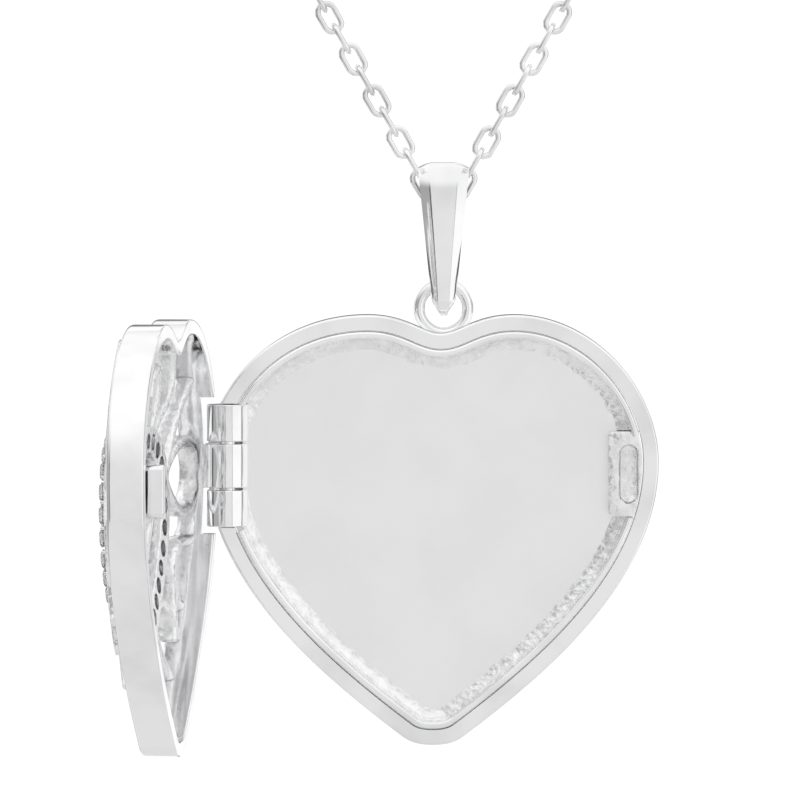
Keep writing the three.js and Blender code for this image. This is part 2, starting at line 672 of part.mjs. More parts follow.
const LINK_BEND = (LINK_WIDTH - LINK_WIRE) / 2;
const LINK_APEX = (LINK_LENGTH - LINK_WIRE) / 2; // from a link's middle to the wire at its end
const LINK_SEAT = LINK_LENGTH / 2 - 1.5 * LINK_WIRE - LINK_PLAY; // to the neighbour's wire
const LINK_PITCH = LINK_APEX + LINK_SEAT;
const STRAND = new THREE.Vector3(Math.cos(STRAND_ANGLE), 0, Math.sin(STRAND_ANGLE));

function link() {
  const straight = LINK_APEX - LINK_BEND;
  const bends = 12;
  const points = Array.from({ length: bends }, (_, index) => {
    const turn = (2 * Math.PI * (index + 0.5)) / bends;
    const along = Math.sign(Math.cos(turn)) * straight + LINK_BEND * Math.cos(turn);
    return new THREE.Vector3(along, LINK_BEND * Math.sin(turn), 0);
  });
  return wireLoop(points, LINK_WIRE / 2, bends);
}

const firstLink = new THREE.Vector3(LINK_APEX, 0, -EYE_DROP).addScaledVector(STRAND, LINK_SEAT);

function strandPoint(side, count) {
  const point = firstLink.clone().addScaledVector(STRAND, count * LINK_PITCH);
  return new THREE.Vector3(side * point.x, point.y, point.z);
}

addPiece('chain_link_middle', link(), CHAIN_SILVER).position.set(0, 0, -EYE_DROP);
for (const [word, side] of [['left', -1], ['right', 1]]) {
  for (let index = 0; index < LINKS_PER_SIDE; index += 1) {
    const name = `chain_link_${word}_${String(index + 1).padStart(2, '0')}`;
    const piece = addPiece(name, link(), CHAIN_SILVER);
    const faceOn = index % 2 === 0;
    const along = new THREE.Vector3(side * STRAND.x, 0, STRAND.z);
    const across = faceOn ? new THREE.Vector3(-along.z, 0, along.x) : new THREE.Vector3(0, 1, 0);
    const out = along.clone().cross(across);
    piece.quaternion.setFromRotationMatrix(new THREE.Matrix4().makeBasis(along, across, out));
    piece.position.copy(strandPoint(side, index));
  }
}

// Ends of the chain: a spring clasp on the left strand and a plain ring on the right

function endPlace(side, wireWidth, radius) {
  const last = strandPoint(side, LINKS_PER_SIDE - 1);
  const reach = LINK_LENGTH / 2 - LINK_WIRE - LINK_PLAY - wireWidth / 2 + radius;
  return last.add(new THREE.Vector3(side * STRAND.x, 0, STRAND.z).multiplyScalar(reach));
}

function endRing() {
  const geometry = new THREE.TorusGeometry(END_RING_RADIUS, END_RING_WIRE / 2, 6, 20);
  geometry.rotateX(Math.PI / 2);
  const place = endPlace(1, END_RING_WIRE, END_RING_RADIUS);
  geometry.translate(place.x, place.y, place.z);
  return solid(geometry);
}

const CLASP_EYE = endPlace(-1, CLASP_EYE_WIRE, CLASP_EYE_RADIUS);
const CLASP_OFFSET = CLASP_EYE_RADIUS + CLASP_EYE_WIRE / 2 + CLASP_RADIUS + CLASP_TUBE - CLASP_EYE_SINK;
const LEFT_STRAND = new THREE.Vector3(-STRAND.x, 0, STRAND.z);
const CLASP_MIDDLE = CLASP_EYE.clone().addScaledVector(LEFT_STRAND, CLASP_OFFSET);
const EYE_SIDE = -THREE.MathUtils.radToDeg(STRAND_ANGLE); // direction from the clasp's middle to its eye
const MOUTH_START = EYE_SIDE + 100;
const MOUTH_END = MOUTH_START + CLASP_MOUTH;

// Part of a circle about the clasp's middle, between two angles in degrees.
function claspArc(radius, from, to, circle = CLASP_RADIUS) {
  const count = Math.max(3, Math.ceil((to - from) / 18));
  const points = Array.from({ length: count + 1 }, (_, index) => {
    const turn = THREE.MathUtils.degToRad(from + ((to - from) * index) / count);
    return new THREE.Vector3(
      CLASP_MIDDLE.x + circle * Math.cos(turn),
      0,
      CLASP_MIDDLE.z + circle * Math.sin(turn),
    );
  });
  return wire(points, radius, count, 8);
}

const BORE_EXTRA = 4; // degrees that the bore runs on past what it must hold
const SOCKET_REACH = 7; // degrees of seat for the trigger's tip

function claspBody() {
  const eye = new THREE.TorusGeometry(CLASP_EYE_RADIUS, CLASP_EYE_WIRE / 2, 6, 14);
  eye.rotateX(Math.PI / 2);
  eye.translate(CLASP_EYE.x, CLASP_EYE.y, CLASP_EYE.z);
  const room = TRIGGER_TRAVEL + TRIGGER_HIDDEN + BORE_EXTRA;
  const tube = join(claspArc(CLASP_TUBE, MOUTH_END, MOUTH_START + 360), solid(eye));
  const bore = claspArc(CLASP_BORE, MOUTH_END - BORE_EXTRA, MOUTH_END + room);
  const mouthLow = MOUTH_START + 360;
  const socket = claspArc(CLASP_BORE, mouthLow - SOCKET_REACH, mouthLow + BORE_EXTRA);
  const groove = claspArc(
    TAB_RADIUS + TRIGGER_GAP,
    MOUTH_END - BORE_EXTRA,
    MOUTH_END + TRIGGER_TRAVEL + 2 * BORE_EXTRA,
    CLASP_RADIUS + CLASP_TUBE * 0.8,
  );
  return tube.subtract(join(bore, groove)).subtract(socket);
}

function claspTrigger() {
  const rod = claspArc(CLASP_BORE - TRIGGER_GAP, MOUTH_START - BORE_EXTRA, MOUTH_END + TRIGGER_HIDDEN);
  const tab = new THREE.CylinderGeometry(TAB_RADIUS, TAB_RADIUS, TAB_LENGTH, 8);
  tab.translate(0, CLASP_RADIUS + TAB_LENGTH / 2, 0);
  tab.rotateX(Math.PI / 2);
  tab.rotateY(THREE.MathUtils.degToRad(90 - MOUTH_END + 3));
  tab.translate(CLASP_MIDDLE.x, 0, CLASP_MIDDLE.z);
  return join(rod, solid(tab));
}

addPiece('end_ring', endRing(), CHAIN_SILVER);
addPiece('clasp_body', claspBody(), CHAIN_SILVER);
addPiece('clasp_trigger', claspTrigger(), CHAIN_SILVER);

export default group;
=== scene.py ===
import json
import math

import bmesh
import bpy
from bpy.types import Operator, Panel, PropertyGroup
from mathutils import Matrix, Vector, noise


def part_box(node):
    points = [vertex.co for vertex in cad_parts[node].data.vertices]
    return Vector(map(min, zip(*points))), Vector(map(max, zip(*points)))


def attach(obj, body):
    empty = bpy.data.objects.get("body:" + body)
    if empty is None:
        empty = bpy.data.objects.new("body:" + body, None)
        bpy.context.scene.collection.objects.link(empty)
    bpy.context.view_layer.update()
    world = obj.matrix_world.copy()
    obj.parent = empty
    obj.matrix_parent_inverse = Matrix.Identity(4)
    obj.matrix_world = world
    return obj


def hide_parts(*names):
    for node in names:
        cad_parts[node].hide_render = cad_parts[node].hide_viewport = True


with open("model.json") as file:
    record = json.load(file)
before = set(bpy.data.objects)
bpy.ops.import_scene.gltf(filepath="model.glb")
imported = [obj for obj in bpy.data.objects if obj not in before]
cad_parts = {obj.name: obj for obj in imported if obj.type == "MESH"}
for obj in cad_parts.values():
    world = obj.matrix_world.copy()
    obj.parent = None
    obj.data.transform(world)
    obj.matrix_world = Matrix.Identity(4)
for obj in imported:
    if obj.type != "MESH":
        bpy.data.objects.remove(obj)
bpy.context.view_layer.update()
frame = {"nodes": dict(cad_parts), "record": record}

bl_info = {
    "name": "Heart Locket",
    "version": (1, 0, 0),
    "blender": (4, 5, 0),
    "location": "View3D > Sidebar > Locket",
    "description": "Builds the polished pieces of an open heart locket around its mechanical model",
    "category": "Add Mesh",
}

MM = 0.001
UP = Vector((0, 0, 1))
JOINTS = {joint["name"]: joint for joint in frame["record"]["behaviour"]["joints"]}


def span(node, axis):
    """Lowest and highest place of a node along an axis, in millimetres."""
    return tuple(corner[axis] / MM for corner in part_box(node))


def middle(node):
    """Middle of a node's box, in millimetres."""
    return (Vector(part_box(node)[0]) + Vector(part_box(node)[1])) / 2 / MM


def joint_place(name):
    return Vector(JOINTS[name]["pos_m"]) / MM


# Places taken from the mechanical model, in millimetres
HINGE = joint_place("cover_hinge")
EYE = joint_place("bail_swing")
RING_WIRE_PLACE = joint_place("locket_swing")
CLASP = joint_place("clasp_slide")
OPEN_ANGLE = math.radians(JOINTS["cover_hinge"]["range_deg"][1])
OPENING = (
    Matrix.Translation((HINGE.x, HINGE.y, 0))
    @ Matrix.Rotation(-OPEN_ANGLE, 4, "Z")
    @ Matrix.Translation((-HINGE.x, -HINGE.y, 0))
)
HEART_LEFT, HEART_RIGHT = span("back_rim", 0)
HEART_MID = (HEART_LEFT + HEART_RIGHT) / 2
HEART_HALF = (HEART_RIGHT - HEART_LEFT) / 2
HEART_LOW, HEART_TOP = span("back_rim", 2)
HEART_TALL = HEART_TOP - HEART_LOW
LEDGE_Y, BACK_Y = span("back_rim", 1)
LIP_Y, LIP_FOOT_Y = span("bezel_lip_lower", 1)
PLATE_Y = LIP_FOOT_Y + 0.02
PARTING_Y = -1.0
COVER_FRONT_Y = PARTING_Y - 2.1
UPPER, MIDDLE, LOWER = (span(f"hinge_knuckle_{word}", 2) for word in ("upper", "middle", "lower"))
BARREL_LEFT, BARREL_RIGHT = span("hinge_knuckle_upper", 0)
BARREL_RADIUS = (BARREL_RIGHT - BARREL_LEFT) / 2
POCKET_LOW, POCKET_HIGH = (Vector(corner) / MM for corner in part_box("catch_pocket"))
CATCH_X = POCKET_LOW.x + 1.13
CATCH_Z = (POCKET_LOW.z + POCKET_HIGH.z) / 2

# Angle of the chain's strands above the level, in degrees, and the right strand's direction
STRAND_ANGLE = 60.3
STRAND = Matrix.Rotation(math.radians(-STRAND_ANGLE), 3, "Y") @ Vector((1, 0, 0))

# Gaps and reaches, in millimetres
RUNNING_ROOM = 0.06
STEP_ROOM = 0.4
SEAM = 0.02
LEAF_BEHIND = 0.45
FAR = 9


# Sizes and colours

def length(name, description, default_mm):
    return bpy.props.FloatProperty(
        name=name, description=description, default=default_mm * MM, unit="LENGTH", precision=5
    )


def colour(name, description, default):
    return bpy.props.FloatVectorProperty(
        name=name, description=description, default=default, subtype="COLOR", size=3, min=0, max=1
    )


class LocketSizes(PropertyGroup):
    """Sizes of the pieces and the stage"""

    ledge_width: length("Ledge", "Flat band round the back half", 0.88)
    lip_width: length("Lip", "Thickness of the raised lip", 0.35)
    lip_roll: length("Lip roll", "Rounding of the lip's edge", 0.15)
    cove_reach: length("Cove", "How far the cove runs over the plate", 0.72)
    cove_ripple: length("Cove ripple", "Unevenness of the cove", 0.14)
    edge_roll: length("Edge roll", "Rounding of the outer edges", 0.16)
    cover_wall: length("Cover wall", "Thickness of the cover's wall", 0.8)
    scroll_width: length("Scroll", "Half width of the scroll wire", 0.3)
    scroll_depth: length("Scroll depth", "Depth of the openwork", 1.2)
    band_depth: length("Band depth", "Depth of the small heart", 1.5)
    band_width: length("Stone band", "Width of the small heart's band", 1.5)
    stone_radius: length("Stone", "Radius of a stone at its girdle", 0.54)
    bail_crown: length("Bail crown", "Roll of the bail's edges", 0.3)
    camera_distance: length("Camera distance", "From the camera to the heart", 900.0)
    floor_reach: length("Floor reach", "Radius of the floor", 900.0)
    floor_drop: length("Floor drop", "From the heart's tip down to the floor", 400.0)


class LocketFinishes(PropertyGroup):
    """Colours of the metal, the stones and the stage"""

    silver: colour("Silver", "Polished white metal", (0.955, 0.955, 0.962))
    inside: colour("Inside", "Polished inside of the back plate", (0.94, 0.94, 0.945))
    chain: colour("Chain", "White metal of the chain", (0.93, 0.93, 0.94))
    stone: colour("Stone", "Clear stone", (0.985, 0.99, 1.0))
    floor: colour("Floor", "Studio floor", (0.8, 0.8, 0.8))


def size(name):
    """One of the sizes, in millimetres."""
    return getattr(bpy.context.scene.locket_sizes, name) / MM


# Heart outline

class Outline:
    """A closed heart outline in X and Z, with the inward direction at each point."""

    SHARES = (24, 36, 44, 14)

    def __init__(self, mid, top, half, tall, shift, dip, shares=SHARES):
        self.mid = mid
        self.points = []
        right = self._side(1, mid, top, half, tall, shift / half, dip / tall, shares)
        left = self._side(-1, mid, top, half, tall, shift / half, dip / tall, shares)
        self.points = right + [Vector((mid, top - tall))] + left[:0:-1]
        self.tip = len(right)
        before = self.points[-1:] + self.points[:-1]
        after = self.points[1:] + self.points[:1]
        along = [(a - b).normalized() for a, b in zip(after, before)]
        self.inward = [Vector((v.y, -v.x)) for v in along]

    @staticmethod
    def _side(side, mid, top, half, tall, shift, dip, shares):
        lobe = shift + side * 0.325
        runs = (
            ((shift, dip), (shift + side * 0.08, dip), (shift + side * 0.15, 0), (lobe, 0)),
            ((lobe, 0), (side * 0.7, 0), (side, 0.165), (side, 0.342)),
            ((side, 0.342), (side, 0.615), (side * 0.512, 0.8315), (side * 0.128, 0.983)),
            ((side * 0.128, 0.983), (side * 0.088, 0.997), (side * 0.044, 1), (0, 1)),
        )
        points = []
        for run, steps in zip(runs, shares):
            for step in range(steps):
                t = step / steps
                u = 1 - t
                weights = (u ** 3, 3 * u * u * t, 3 * u * t * t, t ** 3)
                across = sum(w * p[0] for w, p in zip(weights, run))
                down = sum(w * p[1] for w, p in zip(weights, run))
                points.append(Vector((mid + across * half, top - down * tall)))
        return points

    def inset(self, distance):
        """The outline moved inwards, its sides meeting on the middle line where they would cross."""
        moved = [p + n * distance for p, n in zip(self.points, self.inward)]
        count = len(moved)
        floor = self.points[self.tip].y + 0.35 * (self.points[0].y - self.points[self.tip].y)
        for before, here in zip(moved, moved[1:self.tip + 1]):
            if here.y < floor and here.x <= self.mid < before.x:
                share = (before.x - self.mid) / (before.x - here.x)
                meeting = Vector((self.mid, before.y + (here.y - before.y) * share))
                break
        else:
            return moved
        for step in (-1, 1):
            index = self.tip
            while index != self.tip + step * (count // 3):
                point = moved[index % count]
                if point.y > meeting.y and -step * (point.x - self.mid) > 0:
                    break
                index += step
            reach = abs(self.tip - index)
            for back in range(reach):
                moved[(self.tip + step * back) % count] = meeting.lerp(moved[index % count], back / reach)
        return moved


# Mesh work, in millimetres

def mesh_from(verts, faces):
    """A bmesh of the given points and faces, doubles merged and faces turned outwards."""
    bm = bmesh.new()
    made = [bm.verts.new(v) for v in verts]
    for face in faces:
        corners = list(dict.fromkeys(made[index] for index in face))
        if len(corners) > 2 and bm.faces.get(corners) is None:
            bm.faces.new(corners)
    bmesh.ops.remove_doubles(bm, verts=bm.verts, dist=1e-4)
    bmesh.ops.dissolve_degenerate(bm, dist=1e-5, edges=bm.edges)
    bmesh.ops.recalc_face_normals(bm, faces=bm.faces)
    return bm


def loft(rings, closed_rings=True, closed_run=False):
    """Faces across a run of equal rings of points, with both ends closed where they can be."""
    count = len(rings[0])
    total = len(rings) * count
    faces = []
    for here in range(0, total if closed_run else total - count, count):
        above = (here + count) % total
        for step in range(count if closed_rings else count - 1):
            after = (step + 1) % count
            faces.append((here + step, here + after, above + after, above + step))
    if closed_rings and not closed_run:
        faces += [tuple(range(count)), tuple(range(total - count, total))]
    return mesh_from([point for ring in rings for point in ring], faces)


def rounded(corners, steps=6):
    """A closed profile with each corner (x, y, radius) rolled over."""
    profile = []
    points = [Vector(corner[:2]) for corner in corners]
    before_each, after_each = points[-1:] + points[:-1], points[1:] + points[:1]
    for before, here, after, (_, _, radius) in zip(before_each, points, after_each, corners):
        if radius <= 0:
            profile.append(here)
            continue
        start = here + (before - here).normalized() * radius
        end = here + (after - here).normalized() * radius
        shares = [step / steps for step in range(steps + 1)]
        profile += [start * (1 - t) ** 2 + here * 2 * t * (1 - t) + end * t * t for t in shares]
    return profile


def sweep_heart(outline, profile, part=None, ripple=None):
    """A profile of (inset, depth) points carried round the outline, or along part of it."""
    insets = {}
    loops = []
    for distance, depth in profile:
        key = round(distance, 5)
        if key not in insets:
            insets[key] = outline.inset(distance)
        loops.append([Vector((p.x, depth, p.y)) for p in insets[key]])
    rings = []
    for index in range(len(outline.points)) if part is None else part:
        ring = [loop[index] for loop in loops]
        if ripple:
            ring = [point + ripple(point, column) for column, point in enumerate(ring)]
        rings.append(ring)
    return loft(rings, closed_run=part is None)


def hinge_bar(radius, low_end, high_end, segments=64, roll=0.0):
    """A round bar on the hinge's axis between two heights, its rims rolled over."""
    core, first, last = radius - roll, low_end + roll, high_end - roll
    turns = [math.pi / 8 * step for step in range(5)]
    profile = [(core + roll * math.sin(t), first - roll * math.cos(t)) for t in turns]
    profile += [(core + roll * math.cos(t), last + roll * math.sin(t)) for t in turns]
    profile = [(0, low_end)] + profile + [(0, high_end)]
    return lathe(profile, Matrix.Translation((HINGE.x, HINGE.y, 0)), segments)


def lathe(profile, place, segments):
    """A profile of (radius, height) turned about Z, then put in place."""
    turns = [2 * math.pi * step / segments for step in range(segments)]
    rings = [[place @ Vector((r * math.cos(t), r * math.sin(t), h)) for r, h in profile] for t in turns]
    return loft(rings, closed_rings=False, closed_run=True)


def box(low_corner, high_corner, roll=0.0):
    """A block with its edges rolled over."""
    bm = bmesh.new()
    bmesh.ops.create_cube(bm, size=1)
    for vert in bm.verts:
        vert.co = Vector((v + 0.5) * (h - l) + l for v, l, h in zip(vert.co, low_corner, high_corner))
    if roll > 0:
        edges = list(bm.edges)
        bmesh.ops.bevel(bm, geom=edges, offset=roll, segments=3, profile=0.5, affect="EDGES")
    bmesh.ops.recalc_face_normals(bm, faces=bm.faces)
    return bm


def prism(outline_points, front, back):
    """A flat outline in X and Z pushed along Y."""
    rings = [[Vector((p[0], y, p[1])) for p in outline_points] for y in (front, back)]
    return loft(rings)


def smooth_path(points, steps, closed=False):
    """Even points along a smooth curve through the given ones."""
    count = len(points)
    fine = []
    for first in range(count if closed else count - 1):
        near = range(first - 1, first + 3)
        p, q, r, s = (points[i % count if closed else min(max(i, 0), count - 1)] for i in near)
        for step in range(12):
            t = step / 12
            bend = (p * 2 - q * 5 + r * 4 - s) * t * t
            fine.append((q * 2 + (r - p) * t + bend + (q * 3 - p - r * 3 + s) * t ** 3) / 2)
    fine.append(points[0 if closed else -1])
    lengths = [0.0]
    for before, after in zip(fine, fine[1:]):
        lengths.append(lengths[-1] + (after - before).length)
    even = []
    spot = 0
    for step in range(steps if closed else steps + 1):
        goal = lengths[-1] * step / steps
        while spot < len(fine) - 2 and lengths[spot + 1] < goal:
            spot += 1
        run = lengths[spot + 1] - lengths[spot]
        even.append(fine[spot].lerp(fine[spot + 1], (goal - lengths[spot]) / run if run else 0))
    return even


def tube(path, section, closed=False, up=Vector((0, -1, 0))):
    """A section of (across, up) points carried along a path, kept upright against one direction."""
    rings = []
    count = len(path)
    for index, point in enumerate(path):
        before = path[index - 1] if closed or index > 0 else point
        after = path[(index + 1) % count] if closed or index < count - 1 else point
        along = (after - before).normalized()
        across = along.cross(up).normalized()
        lift = across.cross(along).normalized()
        rings.append([point + across * a + lift * b for a, b in section])
    return loft(rings, closed_run=closed)


def oval(across, up, sides, squareness=1.0):
    """A round or squarish section."""
    section = []
    for side in range(sides):
        c, s = math.cos(2 * math.pi * side / sides), math.sin(2 * math.pi * side / sides)
        section.append(tuple(
            reach * math.copysign(abs(v) ** squareness, v) for reach, v in ((across, c), (up, s))
        ))
    return section


def arc(centre, radius, start, end, steps):
    """Points on a circle in X and Z, from one angle in degrees to another."""
    turns = [math.radians(start + (end - start) * step / steps) for step in range(steps + 1)]
    return [centre + Vector((radius * math.cos(turn), 0, radius * math.sin(turn))) for turn in turns]


def wire_ring(centre, radius, wire, steps, sides):
    """A closed ring of round wire."""
    return tube(arc(centre, radius, 0, 360, steps)[:-1], oval(wire, wire, sides), closed=True)


def joined(*parts):
    """Several bmeshes as one."""
    whole = bmesh.new()
    for part in parts:
        spare = bpy.data.meshes.new("spare")
        part.to_mesh(spare)
        part.free()
        whole.from_mesh(spare)
        bpy.data.meshes.remove(spare)
    return whole


def as_object(name, bm):
    """A bmesh put into the scene as an object."""
    mesh = bpy.data.meshes.new(name)
    bm.to_mesh(mesh)
    bm.free()
    made = bpy.data.objects.new(name, mesh)
    bpy.context.scene.collection.objects.link(made)
    return made


def combined(base, others, operation):
    """A bmesh cut by, joined with or trimmed to others, with exact booleans."""
    body = as_object("work_base", base)
    for other in others:
        tool = as_object("work_tool", other)
        step = body.modifiers.new("step", "BOOLEAN")
        step.operation = operation
        step.solver = "EXACT"
        step.object = tool
        done = bpy.data.meshes.new_from_object(
            body.evaluated_get(bpy.context.evaluated_depsgraph_get())
        )
        body.modifiers.clear()
        old = body.data
        body.data = done
        bpy.data.meshes.remove(old)
        bpy.data.objects.remove(tool)
    result = bmesh.new()
    result.from_mesh(body.data)
    bpy.data.objects.remove(body)
    return result


def piece(name, bm, body, finish="polished_silver", nodes=None, sharp=38, bevel=None):
    """Finishes a bmesh as a shown piece on a body, in metres, standing for its CAD nodes."""
    if bevel:
        edges = [e for e in bm.edges if len(e.link_faces) == 2 and e.calc_face_angle() > 0.6]
        bmesh.ops.bevel(
            bm, geom=edges, offset=bevel, segments=2, profile=0.5, affect="EDGES", clamp_overlap=True
        )
    if body == "cover":
        bm.transform(OPENING)
    bm.transform(Matrix.Scale(MM, 4))
    made = as_object(name, bm)
    made.data.shade_smooth()
    made.data.set_sharp_from_angle(angle=math.radians(sharp))
    made.data.materials.append(material(finish))
    nodes = [name] if nodes is None else nodes
    if nodes:
        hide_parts(*nodes)
    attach(made, body)
    return made


# Shading

def operation(name, reflected=False):
    """A method that joins a socket and another value through a Math node."""
    def method(self, other):
        pair = (other, self) if reflected else (self, other)
        return self.nodes.add("ShaderNodeMath", {"operation": name}, dict(enumerate(pair)))
    return method


class Value:
    """A shader socket that can be added, subtracted and multiplied like a number."""

    __add__, __radd__ = operation("ADD"), operation("ADD", True)
    __sub__, __rsub__ = operation("SUBTRACT"), operation("SUBTRACT", True)
    __mul__, __rmul__ = operation("MULTIPLY"), operation("MULTIPLY", True)

    def __init__(self, nodes, socket):
        self.nodes = nodes
        self.socket = socket

    def step(self, low_edge, high_edge):
        """0 below the low edge and 1 above the high edge, with a smooth change between."""
        return self.nodes.add(
            "ShaderNodeMapRange",
            {"interpolation_type": "SMOOTHSTEP"},
            {"Value": self, "From Min": low_edge, "From Max": high_edge},
        )


class Nodes:
    """A node tree that is written as expressions."""

    def __init__(self, tree):
        self.tree = tree
        tree.nodes.clear()

    def add(self, kind, settings=None, inputs=None, output=0):
        """A node with its settings, then its inputs as values or links; gives one of its outputs."""
        node = self.tree.nodes.new(kind)
        for name, value in (settings or {}).items():
            setattr(node, name, value)
        for key, value in (inputs or {}).items():
            if isinstance(value, Value):
                self.tree.links.new(value.socket, node.inputs[key])
            else:
                node.inputs[key].default_value = value
        return Value(self, node.outputs[output]) if len(node.outputs) else None

    def place(self):
        """Position on the piece in its own space."""
        return self.add("ShaderNodeTexCoord", output="Object")

    def noise(self, scale, detail=3.0, roughness=0.5, place=None, stretch=None):
        """Noise of a size set by its scale, per metre."""
        spot = place or self.place()
        if stretch:
            spot = self.add("ShaderNodeVectorMath", {"operation": "MULTIPLY"}, {0: spot, 1: stretch})
        inputs = {"Vector": spot, "Scale": scale, "Detail": detail, "Roughness": roughness}
        return self.add("ShaderNodeTexNoise", None, inputs)

    def cells(self, scale):
        """Distance to the nearest of many scattered points."""
        return self.add("ShaderNodeTexVoronoi", None, {"Vector": self.place(), "Scale": scale})

    def mix(self, share, first, second):
        """A colour between two, by a share from 0 to 1."""
        return self.add("ShaderNodeMix", {"data_type": "RGBA"}, {0: share, 6: first, 7: second}, 2)

    def bump(self, height, strength, distance):
        return self.add(
            "ShaderNodeBump", None, {"Height": height, "Strength": strength, "Distance": distance}
        )


def tinted(base, factor=1.0):
    return tuple(min(1.0, channel * factor) for channel in base) + (1.0,)


def metal(nodes, base, rough, wave, grain, scratch=0.0, dark=0.86):
    """Polished metal: slow waves from the buffing wheel, fine grain and a faint bloom in its colour."""
    slow = nodes.noise(260.0, 3.0)
    fine = nodes.noise(5200.0, 4.0, 0.6)
    lines = nodes.noise(900.0, 3.0, 0.6, stretch=(1.0, 1.0, 0.12))
    bloom = slow.step(0.35, 0.75)
    height = slow * wave + fine * grain + lines * scratch
    return {
        "Metallic": 1.0,
        "Base Color": nodes.mix(bloom, tinted(base), tinted(base, dark)),
        "Roughness": rough + fine * 0.05 + bloom * 0.03,
        "Normal": nodes.bump(height, 1.0, 0.00002),
    }


def cast_metal(nodes, base):
    """Cast and solder-rounded metal: lumpy, with pits between the lumps."""
    lumps = nodes.noise(1500.0, 5.0, 0.62)
    pits = nodes.cells(2600.0)
    waves = nodes.noise(420.0, 2.0)
    height = lumps * 1.5 + pits * 0.7 + waves * 1.2
    return {
        "Metallic": 1.0,
        "Base Color": nodes.mix(lumps.step(0.3, 0.7), tinted(base, 0.86), tinted(base)),
        "Roughness": 0.14 + lumps * 0.16,
        "Normal": nodes.bump(height, 0.85, 0.00007),
    }


def clear_stone(nodes, base):
    """A clear cut stone with a faint cloud in it."""
    cloud = nodes.noise(1800.0, 2.0)
    return {
        "Base Color": nodes.mix(cloud, tinted(base), tinted(base, 0.96)),
        "Roughness": 0.01 + cloud * 0.02,
        "IOR": 2.2,
        "Transmission Weight": 1.0,
        "Normal": nodes.bump(cloud, 0.1, 0.00001),
    }


def floor_paint(nodes, base):
    """Smooth pale studio board."""
    cloud = nodes.noise(1.5, 3.0)
    grain = nodes.noise(400.0, 2.0)
    return {
        "Base Color": nodes.mix(cloud, tinted(base), tinted(base, 0.99)),
        "Roughness": 0.75 + grain * 0.1,
        "Specular IOR Level": 0.1,
        "Normal": nodes.bump(grain, 0.05, 0.0002),
    }


MATERIALS = {}
MAKERS = {
    "polished_silver": (metal, "silver", 0.05, 0.5, 0.05, 0.06),
    "satin_inside": (metal, "inside", 0.26, 0.25, 0.12, 0.1, 0.97),
    "cast_openwork": (cast_metal, "silver"),
    "chain_silver": (metal, "chain", 0.07, 0.35, 0.1, 0.05, 0.8),
    "clear_stone": (clear_stone, "stone"),
    "studio_floor": (floor_paint, "floor"),
}


def material(name):
    """One of the materials, made when first wanted."""
    if name not in MATERIALS:
        maker, paint, *amounts = MAKERS[name]
        made = bpy.data.materials.new(name)
        made.use_nodes = True
        nodes = Nodes(made.node_tree)
        inputs = maker(nodes, getattr(bpy.context.scene.locket_finishes, paint), *amounts)
        shader = nodes.add("ShaderNodeBsdfPrincipled", None, inputs)
        nodes.add("ShaderNodeOutputMaterial", None, {"Surface": shader})
        MATERIALS[name] = made
    return MATERIALS[name]


# Back half

def heart():
    return Outline(HEART_MID, HEART_TOP, HEART_HALF, HEART_TALL, 0.45, 1.02)


def hinge_cutters():
    """Room for the barrel and for everything in front of its axis."""
    lowest, highest = LOWER[0] - RUNNING_ROOM, UPPER[1] + RUNNING_ROOM
    reach = BARREL_RADIUS + RUNNING_ROOM
    open_front = box((HINGE.x - FAR, HINGE.y - FAR, lowest), (HINGE.x + reach, HINGE.y, highest))
    return [hinge_bar(reach, lowest, highest), open_front]


def slot_outline(width, tall, steps=16):
    """The catch's oblong, round at both ends."""
    radius = width / 2
    points = []
    for side, first in ((1, 0), (-1, math.pi)):
        centre = CATCH_Z + side * (tall / 2 - radius)
        for step in range(steps + 1):
            turn = first + math.pi * step / steps
            points.append((CATCH_X + radius * math.cos(turn), centre + radius * math.sin(turn)))
    return points


def at_depth(outline_points, y):
    return [Vector((p[0], y, p[1])) for p in outline_points]


def lip_part(outline, upper):
    """The outline's points along which one length of the lip runs, from its start to its end."""
    ends = (POCKET_HIGH.z, UPPER[1] + STEP_ROOM) if upper else (POCKET_LOW.z, LOWER[0] - STEP_ROOM)
    kept = [i for i, p in enumerate(outline.points) if (p.y > ends[p.x <= outline.mid]) == upper]
    return sorted(kept, key=lambda i: i < outline.tip) if upper else kept


class LOCKET_OT_back_rim(Operator):
    """Side wall of the open back half, with its flat ledge"""

    bl_idname = "locket.back_rim"
    bl_label = "Back rim"

    def execute(self, context):
        inner = size("ledge_width") - 0.03
        profile = rounded([
            (0, LEDGE_Y, size("edge_roll")), (inner, LEDGE_Y, 0.05), (inner, BACK_Y, 0), (0, BACK_Y, 0.3)
        ])
        leaf_swing = math.hypot(LEAF_BEHIND, 1.4) + RUNNING_ROOM
        leaf_room = hinge_bar(leaf_swing, MIDDLE[0] - RUNNING_ROOM, MIDDLE[1] + RUNNING_ROOM)
        cut = combined(sweep_heart(heart(), profile), hinge_cutters() + [leaf_room], "DIFFERENCE")
        piece("back_rim", cut, "back_half")
        return {"FINISHED"}


